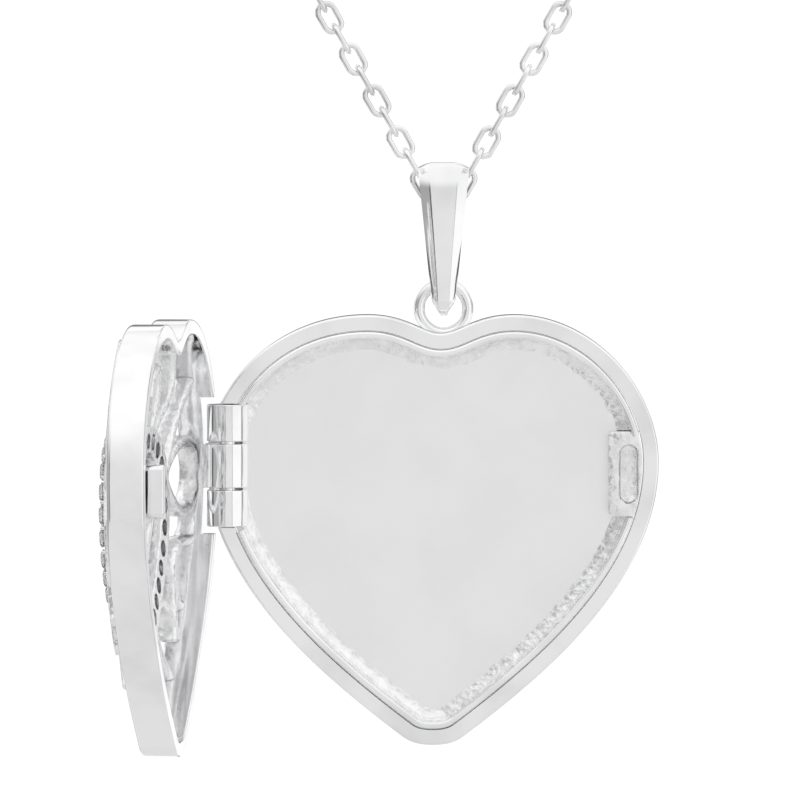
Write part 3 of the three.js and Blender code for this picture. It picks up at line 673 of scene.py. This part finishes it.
class LOCKET_OT_back_plate(Operator):
    """Back plate with the rough solder cove that runs round its edge"""

    bl_idname = "locket.back_plate"
    bl_label = "Back plate"

    # The cove's slope: how far over the plate, and how far down
    SLOPE = ((0.15, 0.06), (0.3, 0.14), (0.45, 0.215), (0.6, 0.275), (0.75, 0.315), (0.88, 0.335))

    def execute(self, context):
        outline = heart()
        reach, ledge, wobble = size("cove_reach"), size("ledge_width"), size("cove_ripple")
        lip = ledge + size("lip_width") + 0.04
        top, under = PLATE_Y - 0.36, PLATE_Y + 0.05
        start = lip - 0.02
        slope = [(start, under), (start, top), (lip + 0.03, top - 0.02), (lip + 0.08, top + 0.01)]
        slope += [(lip + share * reach, top + fall) for share, fall in self.SLOPE]
        slope += [(lip + reach, PLATE_Y - 0.004), (lip + reach, under)]

        def ripple(point, column):
            if column < 3:
                return Vector((0, 0, 0))
            share = min(column - 2, 9) / 9 * min(1.0, abs(point.x - outline.mid) / 2)
            spot = Vector((point.x * 1.9, 3.1, point.z * 1.9))
            push = noise.noise(spot) * wobble * share
            dent = noise.noise(spot * 2.3 + Vector((9, 0, 0))) * 0.03
            away = Vector((point.x - outline.mid, 0, point.z + 18)).normalized()
            return away * push + Vector((0, dent * (1 - share * 0.8), 0))

        plate = prism(outline.inset(ledge + SEAM), PLATE_Y, BACK_Y - 0.002)
        cove = sweep_heart(outline, slope, ripple=ripple)
        low_corner = (POCKET_LOW.x - SEAM, -FAR, POCKET_LOW.z - SEAM)
        high_corner = (POCKET_HIGH.x + 3, 0.6, POCKET_HIGH.z + SEAM)
        cut = joined(*[
            combined(part, [box(low_corner, high_corner)] + hinge_cutters(), "DIFFERENCE")
            for part in (plate, cove)
        ])
        made = piece("back_plate", cut, "back_half", "satin_inside", sharp=50)
        made.data.materials.append(material("cast_openwork"))
        for face in made.data.polygons:
            face.use_smooth = abs(face.normal.y) < 0.999
            face.material_index = int(0.2 < face.center.y / MM < PLATE_Y - 0.012)
        return {"FINISHED"}


class LOCKET_OT_bezel_lip(Operator):
    """Thin raised lip in two lengths, which leaves the hinge and the catch free"""

    bl_idname = "locket.bezel_lip"
    bl_label = "Bezel lip"

    def execute(self, context):
        outline = heart()
        start, foot, roll = size("ledge_width") + 0.04, PLATE_Y - SEAM, size("lip_roll")
        end = start + size("lip_width")
        profile = rounded([(start, LIP_Y, roll), (end, LIP_Y, roll), (end, foot, 0), (start, foot, 0)])
        for word in ("upper", "lower"):
            lip = sweep_heart(outline, profile, lip_part(outline, word == "upper"))
            piece(f"bezel_lip_{word}", lip, "back_half")
        return {"FINISHED"}


class LOCKET_OT_catch_pocket(Operator):
    """Block with the oblong slot that the cover's tongue snaps into"""

    bl_idname = "locket.catch_pocket"
    bl_label = "Catch pocket"

    def execute(self, context):
        corner = 0.18
        inner = heart().inset(size("ledge_width") + 0.03)
        wall = [p for p in inner if POCKET_LOW.z + SEAM < p.y < POCKET_HIGH.z - SEAM and p.x > HEART_MID]
        low_x, low_z, high_z = POCKET_LOW.x + SEAM, POCKET_LOW.z + 0.01, POCKET_HIGH.z - 0.01
        loop = [(low_x, high_z - corner), (low_x + corner, high_z), (wall[0].x, high_z)] + wall
        loop += [(wall[-1].x, low_z), (low_x + corner, low_z), (low_x, low_z + corner)]
        mouth, throat = slot_outline(1.1, 3.32), slot_outline(0.9, 3.12)
        steps = ((mouth, -0.5), (mouth, -0.0001), (throat, 0.13), (throat, 1.2))
        slot = loft([at_depth(ring, LEDGE_Y + depth) for ring, depth in steps])
        cut = combined(prism(loop, LEDGE_Y, PLATE_Y - SEAM), [slot], "DIFFERENCE")
        piece("catch_pocket", cut, "back_half", "cast_openwork", bevel=0.03)
        return {"FINISHED"}


class LOCKET_OT_hinge(Operator):
    """Three barrel knuckles with the pin through them, and the leaf that carries the cover"""

    bl_idname = "locket.hinge"
    bl_label = "Hinge"

    def execute(self, context):
        for word, ends in (("upper", UPPER), ("lower", LOWER)):
            piece(f"hinge_knuckle_{word}", self.knuckle(ends), "back_half", sharp=30)
        leaf = box(
            (HINGE.x - LEAF_BEHIND, -1.68, MIDDLE[0] + 0.01),
            (HINGE.x + 0.9, -1.11, MIDDLE[1] - 0.01),
            0.06,
        )
        middle_knuckle = joined(self.knuckle(MIDDLE), leaf)
        piece("hinge_knuckle_middle", middle_knuckle, "cover", sharp=30)
        pin = hinge_bar(0.4, LOWER[0] - 0.03, UPPER[1] + 0.03, 48, 0.08)
        piece("hinge_pin", pin, "back_half")
        return {"FINISHED"}

    @staticmethod
    def knuckle(ends):
        """A length of the barrel, slightly uneven from filing by hand."""
        bm = hinge_bar(BARREL_RADIUS, *ends, 96, 0.07)
        for vert in bm.verts:
            out = Vector((vert.co.x - HINGE.x, vert.co.y - HINGE.y, 0))
            if out.length > 0.2:
                vert.co += out.normalized() * noise.noise(vert.co * 1.4) * 0.012
        return bm


class LOCKET_OT_hanging_ring(Operator):
    """Wire ring soldered into the notch of the heart"""

    bl_idname = "locket.hanging_ring"
    bl_label = "Hanging ring"

    def execute(self, context):
        radius = 1.34
        ring = wire_ring(Vector((0, 0, RING_WIRE_PLACE.z - radius)), radius, 0.31, 96, 24)
        cut = combined(ring, [prism(heart().inset(-SEAM), -5, 5)], "DIFFERENCE")
        piece("hanging_ring", cut, "back_half")
        return {"FINISHED"}


# Cover

DOME_MID_Z = HEART_TOP - 0.41 * HEART_TALL
DOME_REACH_X = HEART_HALF - 0.8
DOME_REACH_Z = 0.53 * HEART_TALL
DOME_RISE = 1.6
STONE_COUNT = 28
BORE_RADIUS = 0.46
BEAD_RADIUS = 0.12


def dome_point(x, z, depth):
    """A point a depth behind the domed front of the openwork."""
    rise = 1 - ((x - HEART_MID) / DOME_REACH_X) ** 2 - ((z - DOME_MID_Z) / DOME_REACH_Z) ** 2
    return Vector((x, COVER_FRONT_Y - DOME_RISE * max(0.0, rise) + depth, z))


def dome_seat(place, rise=0.0):
    """Space at a place on the dome and a little above it, its Z along the dome's normal."""
    across = dome_point(place.x + 0.05, place.z, 0) - dome_point(place.x - 0.05, place.z, 0)
    upward = dome_point(place.x, place.z + 0.05, 0) - dome_point(place.x, place.z - 0.05, 0)
    out = across.cross(upward).normalized()
    if out.y > 0:
        out = -out
    turned = UP.rotation_difference(out).to_matrix().to_4x4()
    return Matrix.Translation(dome_point(place.x, place.z, 0) + out * rise) @ turned


def small_heart():
    """Middle line of the heart band that holds the stones."""
    return Outline(HEART_MID, HEART_TOP - 6.5, 5.8, 10.8, 0, 1.02, shares=(16, 28, 32, 8))


def stone_places():
    line = [Vector((p.x, 0, p.y)) for p in small_heart().points]
    return smooth_path(line, STONE_COUNT * 2, closed=True)[1::2]


class LOCKET_OT_cover_rim(Operator):
    """Side wall of the cover, stepped back beside the hinge"""

    bl_idname = "locket.cover_rim"
    bl_label = "Cover rim"

    def execute(self, context):
        wall = size("cover_wall")
        profile = rounded([
            (0, COVER_FRONT_Y, 0.28), (wall, COVER_FRONT_Y, 0.16),
            (wall, PARTING_Y, 0.1), (0, PARTING_Y, size("edge_roll")),
        ])
        step = box(
            (HINGE.x - FAR, PARTING_Y - 0.7, LOWER[0] - STEP_ROOM),
            (HINGE.x + BARREL_RADIUS, FAR, UPPER[1] + STEP_ROOM),
        )
        cut = combined(sweep_heart(heart(), profile), [step], "DIFFERENCE")
        piece("cover_rim", cut, "cover")
        return {"FINISHED"}


# The tongue's foot: half its width, then how far it runs below and above the catch's middle
FOOT_HALF = 0.35
FOOT_BELOW = 1.46
FOOT_ABOVE = 2.21
FOOT_FRONT = -2.44
FOOT_BACK = -1.36


class LOCKET_OT_catch_tongue(Operator):
    """Tongue that snaps into the slot, on its foot with the drilled stay above it"""

    bl_idname = "locket.catch_tongue"
    bl_label = "Catch tongue"

    def execute(self, context):
        full, end = slot_outline(0.70, 2.92), slot_outline(0.56, 2.78)
        tongue = loft([at_depth(full, -2.0), at_depth(full, -0.2), at_depth(end, -0.1)])
        inner = heart().inset(size("cover_wall") + SEAM)
        low_z, high_z = CATCH_Z - FOOT_BELOW, CATCH_Z + FOOT_ABOVE
        wall = [p for p in inner if low_z < p.y < high_z and p.x > HEART_MID]
        side = CATCH_X - FOOT_HALF
        foot = prism([(side, high_z)] + wall + [(side, low_z)], FOOT_FRONT, FOOT_BACK)
        place = Matrix.Translation((CATCH_X, -1.9, CATCH_Z + 1.84)) @ Matrix.Rotation(math.pi / 2, 4, "Y")
        drill = lathe([(0, -4), (0.2, -4), (0.2, 4), (0, 4)], place, 24)
        body = combined(foot, [drill], "DIFFERENCE")
        piece("catch_tongue", joined(tongue, body), "cover", bevel=0.05)
        return {"FINISHED"}


class LOCKET_OT_heart_band(Operator):
    """Small domed heart band, bored behind each stone"""

    bl_idname = "locket.heart_band"
    bl_label = "Heart band"

    def execute(self, context):
        half, thick = size("band_width") / 2, size("band_depth")
        front, back = 0.16, 0.12
        corners = [(-half, 0, front), (half, 0, front), (half, thick, back), (-half, thick, back)]
        profile = rounded(corners, 4)
        band = sweep_heart(small_heart(), profile)
        for vert in band.verts:
            vert.co = dome_point(vert.co.x, vert.co.z, vert.co.y)
        bore = [(0, -2.4), (BORE_RADIUS, -2.4), (BORE_RADIUS, 1.2), (0, 1.2)]
        bores = joined(*[lathe(bore, dome_seat(place), 20) for place in stone_places()])
        piece("heart_band", combined(band, [bores], "DIFFERENCE"), "cover", "cast_openwork")
        return {"FINISHED"}


class LOCKET_OT_stones(Operator):
    """Round brilliant stones in pairs, each with beads of metal pushed over its girdle"""

    bl_idname = "locket.stones"
    bl_label = "Stones"

    def execute(self, context):
        places = stone_places()
        for pair in range(STONE_COUNT // 2):
            stones = joined(*[self.brilliant(place) for place in places[2 * pair:2 * pair + 2]])
            piece(f"stones_{pair + 1:02d}", stones, "cover", "clear_stone", sharp=4)
        beads = []
        for place, after in zip(places, places[1:] + places[:1]):
            along = (after - place).normalized()
            across = Vector((-along.z, 0, along.x))
            beads += [self.bead((place + after) / 2 + across * side * 0.46) for side in (-1, 1)]
        piece("stone_beads", joined(*beads), "cover", "chain_silver", nodes=[])
        return {"FINISHED"}

    @staticmethod
    def brilliant(place):
        """A cut stone: point, girdle, eight-sided crown and table."""
        spot, radius = dome_seat(place, 0.09), size("stone_radius")
        rows = (
            (0.001, -0.46, 0), (radius, 0, 0), (radius, 0.04, 0), (radius * 0.8, 0.13, 0.5),
            (radius * 0.56, 0.18, 0),
        )
        rings = []
        for r, h, shift in rows:
            sides = 8 if shift else 16
            turns = [2 * math.pi * (side + shift) / sides for side in range(sides)]
            ring = [spot @ Vector((r * math.cos(turn), r * math.sin(turn), h)) for turn in turns]
            rings.append([corner for corner in ring for _ in range(16 // sides)])
        return loft(rings)

    @staticmethod
    def bead(place):
        turns = [math.pi / 10 * step for step in range(6)]
        profile = [(BEAD_RADIUS, 0)]
        profile += [(BEAD_RADIUS * math.cos(t), BEAD_RADIUS * (1 + math.sin(t))) for t in turns]
        return lathe(profile, dome_seat(place, -0.05), 12)


# Scroll wires on the right side: points as shares of the heart's half width and height, and whether closed
SCROLLS = {
    "lobe": (
        (((0.2, 0.235), (0.08, 0.16), (0.16, 0.075), (0.36, 0.03), (0.53, 0.085), (0.56, 0.17),
          (0.42, 0.235), (0.31, 0.275)), True),
        (((0.33, 0.26), (0.37, 0.19), (0.34, 0.12), (0.27, 0.13), (0.26, 0.175)), False),
    ),
    "side": (
        (((0.57, 0.37), (0.72, 0.3), (0.88, 0.3), (0.95, 0.37), (0.88, 0.44), (0.74, 0.45)), True),
        (((0.57, 0.36), (0.64, 0.27), (0.72, 0.2), (0.8, 0.15), (0.86, 0.13)), False),
    ),
    "lower": (
        (((0.25, 0.7), (0.45, 0.66), (0.57, 0.73), (0.48, 0.84), (0.33, 0.8)), True),
        (((0.93, 0.46), (0.86, 0.52), (0.73, 0.53), (0.625, 0.59), (0.66, 0.67), (0.77, 0.655)), False),
        (((0.63, 0.62), (0.5, 0.57), (0.43, 0.57)), False),
        (((0.61, 0.62), (0.585, 0.69), (0.55, 0.75)), False),
    ),
    "tip": ((((0, 0.74), (0.12, 0.82), (0.1, 0.89), (0, 0.96), (-0.1, 0.89), (-0.12, 0.82)), True),),
    "heart": (
        (((0, 0.42), (0.13, 0.37), (0.3, 0.36), (0.36, 0.44), (0.26, 0.53), (0.12, 0.62), (0, 0.68),
          (-0.12, 0.62), (-0.26, 0.53), (-0.36, 0.44), (-0.3, 0.36), (-0.13, 0.37)), True),
        (((-0.5, 0.45), (-0.33, 0.46), (0.33, 0.46), (0.5, 0.45)), False),
    ),
}


class LOCKET_OT_scrolls(Operator):
    """Openwork scrolls between the rim, the small heart and the tip"""

    bl_idname = "locket.scrolls"
    bl_label = "Scrollwork"

    def execute(self, context):
        inside = heart().inset(size("cover_wall") + SEAM)
        half_band = size("band_width") / 2 + SEAM
        around = small_heart().inset(-half_band)
        for word, side in (("left", -1), ("right", 1)):
            for group in ("lobe", "side", "lower"):
                self.show(group, f"scroll_{group}_{word}", side, inside, around)
        self.show("tip", "scroll_tip", 1, inside, around)
        self.show("heart", "scroll_heart", 1, small_heart().inset(half_band))
        return {"FINISHED"}

    def show(self, group, name, side, keep, remove=None):
        """A group's wires merged, kept inside one outline and outside another and the tongue's foot."""
        wires = [self.wire(shares, side, closed) for shares, closed in SCROLLS[group]]
        whole = combined(wires[0], wires[1:], "UNION") if len(wires) > 1 else wires[0]
        whole = combined(whole, [prism(keep, -FAR, FAR)], "INTERSECT")
        if remove:
            foot = box(
                (CATCH_X - FOOT_HALF - SEAM, FOOT_FRONT - 0.03, CATCH_Z - FOOT_BELOW - SEAM),
                (CATCH_X + FAR, FOOT_BACK + 0.03, CATCH_Z + FOOT_ABOVE + SEAM),
            )
            whole = combined(whole, [prism(remove, -FAR, FAR), foot], "DIFFERENCE")
        piece(name, whole, "cover", "cast_openwork", sharp=60)

    @staticmethod
    def wire(shares, side, closed):
        """A deep, round-edged wire on the domed front."""
        half_depth = size("scroll_depth") / 2
        spots = [(HEART_MID + side * x * HEART_HALF, HEART_TOP - z * HEART_TALL) for x, z in shares]
        path = smooth_path([dome_point(x, z, half_depth) for x, z in spots], 14 * len(shares), closed)
        return tube(path, oval(size("scroll_width"), half_depth, 16, 0.72), closed)


# Hanger

class LOCKET_OT_bail(Operator):
    """Tapered strip folded over the chain and under the ring, its edges rolled down"""

    bl_idname = "locket.bail"
    bl_label = "Bail"

    STRIP = 0.35
    WIDE, NARROW = 1.42, 0.7
    SHOULDER_Z, WAIST_Z = 0.42, -6.54

    def execute(self, context):
        pivot_z = RING_WIRE_PLACE.z
        path = self.centre_line(EYE.z, pivot_z, 1.3 + self.STRIP / 2, 0.55 + self.STRIP / 2)
        rings = []
        for index, point in enumerate(path):
            along = (path[(index + 1) % len(path)] - path[index - 1]).normalized()
            out = Vector((0, along.z, -along.y))
            thick = self.STRIP / 2 + 0.42 * max(0.0, (pivot_z - point.z) / 1.145) ** 1.6
            rings.append([
                point + Vector((across, 0, 0)) + out * lift
                for across, lift in self.section(self.half_width(point.z), thick)
            ])
        piece("bail", loft(rings, closed_run=True), "bail", sharp=42)
        return {"FINISHED"}

    @staticmethod
    def centre_line(top_z, pivot_z, top_radius, low_radius):
        """The folded strip's middle line: over the chain, down one side, under the ring and up again."""
        def flank(side, steps):
            for step in steps:
                y = top_radius + (low_radius - top_radius) * step / 20
                points.append(Vector((0, side * y, top_z + (pivot_z - top_z) * step / 20)))

        turns = [math.pi * step / 24 for step in range(25)]
        points = [Vector((0, top_radius * math.cos(t), top_z + top_radius * math.sin(t))) for t in turns]
        flank(-1, range(1, 20))
        drop = low_radius + 0.48
        turns = [math.pi * step / 16 for step in range(17)]
        points += [Vector((0, -low_radius * math.cos(t), pivot_z - drop * math.sin(t))) for t in turns]
        flank(1, range(19, 0, -1))
        for _ in range(5):
            after = points[1:] + points[:1]
            before = points[-1:] + points[:-1]
            points = [(b + p * 2 + a) / 4 for b, p, a in zip(before, points, after)]
        return points

    def half_width(self, z):
        """The bail's outline from the front, wide above and drawn in to a rounded tip."""
        if z >= self.SHOULDER_Z:
            return self.WIDE
        if z >= self.WAIST_Z:
            share = (self.SHOULDER_Z - z) / (self.SHOULDER_Z - self.WAIST_Z)
            return self.WIDE + (self.NARROW - self.WIDE) * share
        share = min(1.0, (self.WAIST_Z - z) / 0.6)
        return self.NARROW * math.sqrt(1 - 0.82 * share * share)

    @staticmethod
    def section(half, thick):
        """Across the strip: a crowned outer face, flat in the middle, and a shallow hollow inner one."""
        outer, inner = [], []
        for step in range(29):
            share = -1 + step / 14
            drop = size("bail_crown") * max(0.0, (abs(share) - 0.34) / 0.66) ** 2
            outer.append((share * half, thick - drop))
            inner.append((share * half * 0.985, -thick + 0.04 * (1 - share * share)))
        return outer + inner[::-1]


class LOCKET_OT_chain(Operator):
    """Cable links, each a quarter turn from the next, from the bail up to both ends"""

    bl_idname = "locket.chain"
    bl_label = "Chain"

    def execute(self, context):
        deep = Vector((0, 1, 0))
        for node in sorted(frame["nodes"]):
            if not node.startswith("chain_link"):
                continue
            centre = middle(node)
            along, across = Vector((1, 0, 0)), deep
            if node != "chain_link_middle":
                centre.y = 0
                along = STRAND.copy()
                along.x *= -1 if "left" in node else 1
                if int(node[-2:]) % 2:
                    across = Vector((-along.z, 0, along.x))
            turned = Matrix((along, across, along.cross(across).normalized())).transposed().to_4x4()
            bm = self.link()
            seed = Vector((centre.x, centre.z, 0)) * 3
            for vert in bm.verts:
                vert.co += vert.co.normalized() * noise.noise(vert.co * 3 + seed) * 0.018
            bm.transform(Matrix.Translation(centre) @ turned)
            piece(node, bm, "chain", "chain_silver")
        return {"FINISHED"}

    @staticmethod
    def link():
        """One oval link with faintly cut flats on its wire."""
        path = []
        bend, straight = 0.475, 0.35
        for step in range(40):
            turn = 2 * math.pi * (step + 0.5) / 40
            side = math.copysign(straight, math.cos(turn))
            path.append(Vector((side + bend * math.cos(turn), bend * math.sin(turn), 0)))
        return tube(path, oval(0.16, 0.15, 12, 0.86), closed=True, up=UP)


class LOCKET_OT_clasp(Operator):
    """Spring ring clasp with its sliding trigger at one chain end, and a plain ring at the other"""

    bl_idname = "locket.clasp"
    bl_label = "Clasp and end ring"

    RADIUS, WIRE = 2.3, 0.48
    EYE_RADIUS, EYE_WIRE = 0.7, 0.18

    def execute(self, context):
        start = 100 - STRAND_ANGLE
        end = start + 40
        body = combined(self.bar(end, start + 360, 90, self.WIRE, 24), [
            self.bar(end - 4, end + 57, 24, 0.3, 16),
            self.bar(end - 4, end + 43, 20, 0.17, 12, 0.384),
            self.bar(start + 353, start + 364, 6, 0.3, 16),
        ], "DIFFERENCE")
        along = Vector((STRAND.x, 0, -STRAND.z))
        eye_middle = CLASP + along * (self.RADIUS + self.WIRE + self.EYE_RADIUS + self.EYE_WIRE - 0.3)
        eye = wire_ring(eye_middle, self.EYE_RADIUS, self.EYE_WIRE, 48, 14)
        piece("clasp_body", joined(body, eye), "chain", "chain_silver")
        out = arc(Vector(), 1, end - 3, end, 1)[0]
        stem = Matrix.Translation(CLASP + out * self.RADIUS)
        stem @= UP.rotation_difference(out).to_matrix().to_4x4()
        profile = [(0.001, 0), (0.12, 0), (0.12, 0.6), (0.15, 0.68), (0.12, 0.74), (0.001, 0.76)]
        trigger = joined(self.bar(start - 4, end + 18, 30, 0.25, 16), lathe(profile, stem, 20))
        piece("clasp_trigger", trigger, "clasp_trigger", "chain_silver")
        piece("end_ring", wire_ring(middle("end_ring"), 1.5, 0.21, 72, 16), "chain", "chain_silver")
        return {"FINISHED"}

    def bar(self, start, end, steps, wire, sides, outwards=0.0):
        """A round bar bent along part of the clasp's circle."""
        return tube(arc(CLASP, self.RADIUS + outwards, start, end, steps), oval(wire, wire, sides))


# Stage

class LOCKET_OT_stage(Operator):
    """Camera, floor and soft studio light"""

    bl_idname = "locket.stage"
    bl_label = "Stage"

    def execute(self, context):
        scene = context.scene
        self.camera(scene)
        self.floor()
        self.tent(scene)
        return {"FINISHED"}

    @staticmethod
    def camera(scene):
        data = bpy.data.cameras.new("camera")
        data.lens, data.sensor_width = 732, 36
        data.clip_start, data.clip_end = 0.01, 40
        camera = bpy.data.objects.new("camera", data)
        scene.collection.objects.link(camera)
        aim = Vector((-2.41, 0, -12.39)) * MM
        lift = math.radians(2.3)
        back = Vector((0, -math.cos(lift), math.sin(lift)))
        camera.location = aim + back * size("camera_distance") * MM
        camera.rotation_euler = (-back).to_track_quat("-Z", "Y").to_euler()
        scene.camera = camera


    @staticmethod
    def floor():
        """A pale disc far below the locket, its edge turned up a little."""
        reach = size("floor_reach") * MM
        level = (HEART_LOW - size("floor_drop")) * MM
        shares = (0.001, 0.2, 0.4, 0.6, 0.8, 0.94, 1.0)
        profile = [(share * reach, level + 0.02 * max(0.0, share - 0.9) * reach) for share in shares]
        made = as_object("studio_floor", lathe(profile, Matrix.Identity(4), 96))
        made.data.shade_smooth()
        made.data.materials.append(material("studio_floor"))

    @staticmethod
    def tent(scene):
        """A white light tent with grey and dark cards, seen as bands and lines in the polished metal."""
        scene.view_settings.view_transform = "Standard"
        world = bpy.data.worlds.new("tent")
        world.use_nodes = True
        scene.world = world
        nodes = Nodes(world.node_tree)
        way = nodes.add("ShaderNodeTexCoord", output="Generated")
        split = nodes.add("ShaderNodeSeparateXYZ", None, {"Vector": way}).socket.node
        x, y, z = (Value(nodes, split.outputs[index]) for index in range(3))
        front = 1 - y.step(-0.12, -0.04)
        back = y.step(0.06, 0.16)
        right = x.step(0.45, 0.47)
        left = 1 - x.step(-0.53, -0.49)
        right_line = x.step(0.42, 0.43) * (1 - right)
        left_line = (1 - x.step(-0.44, -0.41)) * x.step(-0.53, -0.49)
        cards = 0.81 + right * 0.22 - right_line * 0.5 - left_line * 0.76 - left * 0.38
        patches = nodes.noise(3.4, 1.0, 0.4, place=way).step(0.45, 0.53)
        clouds = 0.2 + patches * 0.85
        seam = 0.12
        around = cards * front + clouds * back + seam * (1 - front) * (1 - back)
        top = z.step(0.12, 0.75)
        level = around * (1 - top) + top * 1.06
        tone = nodes.add("ShaderNodeCombineColor", None, {0: level, 1: level, 2: level})
        lit = nodes.add("ShaderNodeBackground", None, {"Color": tone, "Strength": 1.0})
        plain = nodes.add("ShaderNodeBackground", None, {"Color": (1, 1, 1, 1), "Strength": 1.05})
        seen = nodes.add("ShaderNodeLightPath", output="Is Camera Ray")
        shade = nodes.add("ShaderNodeMixShader", None, {0: seen, 1: lit, 2: plain})
        nodes.add("ShaderNodeOutputWorld", None, {"Surface": shade})


# Panel and registration

class LOCKET_PT_panel(Panel):
    """Sizes, finishes and one button for each group of pieces"""

    bl_label = "Locket"
    bl_idname = "LOCKET_PT_panel"
    bl_space_type = "VIEW_3D"
    bl_region_type = "UI"
    bl_category = "Locket"

    def draw(self, context):
        for group in (context.scene.locket_sizes, context.scene.locket_finishes):
            box_layout = self.layout.box()
            for name in group.__annotations__:
                box_layout.prop(group, name)
        for operator in OPERATORS:
            self.layout.operator(operator.bl_idname)


# In the order in which they are built
OPERATORS = (
    LOCKET_OT_stage, LOCKET_OT_back_rim, LOCKET_OT_back_plate, LOCKET_OT_bezel_lip, LOCKET_OT_catch_pocket,
    LOCKET_OT_hinge, LOCKET_OT_hanging_ring, LOCKET_OT_cover_rim, LOCKET_OT_catch_tongue,
    LOCKET_OT_heart_band, LOCKET_OT_stones, LOCKET_OT_scrolls, LOCKET_OT_bail, LOCKET_OT_chain,
    LOCKET_OT_clasp,
)
CLASSES = (LocketSizes, LocketFinishes) + OPERATORS + (LOCKET_PT_panel,)


def register():
    for cls in CLASSES:
        bpy.utils.register_class(cls)
    bpy.types.Scene.locket_sizes = bpy.props.PointerProperty(type=LocketSizes)
    bpy.types.Scene.locket_finishes = bpy.props.PointerProperty(type=LocketFinishes)


def unregister():
    del bpy.types.Scene.locket_finishes
    del bpy.types.Scene.locket_sizes
    for cls in reversed(CLASSES):
        bpy.utils.unregister_class(cls)


def main():
    register()
    for operator in OPERATORS:
        step = operator.bl_idname.split(".")[1]
        if getattr(bpy.ops.locket, step)() != {"FINISHED"}:
            raise RuntimeError(f"{step} did not finish")


if __name__ == "__main__":
    main()
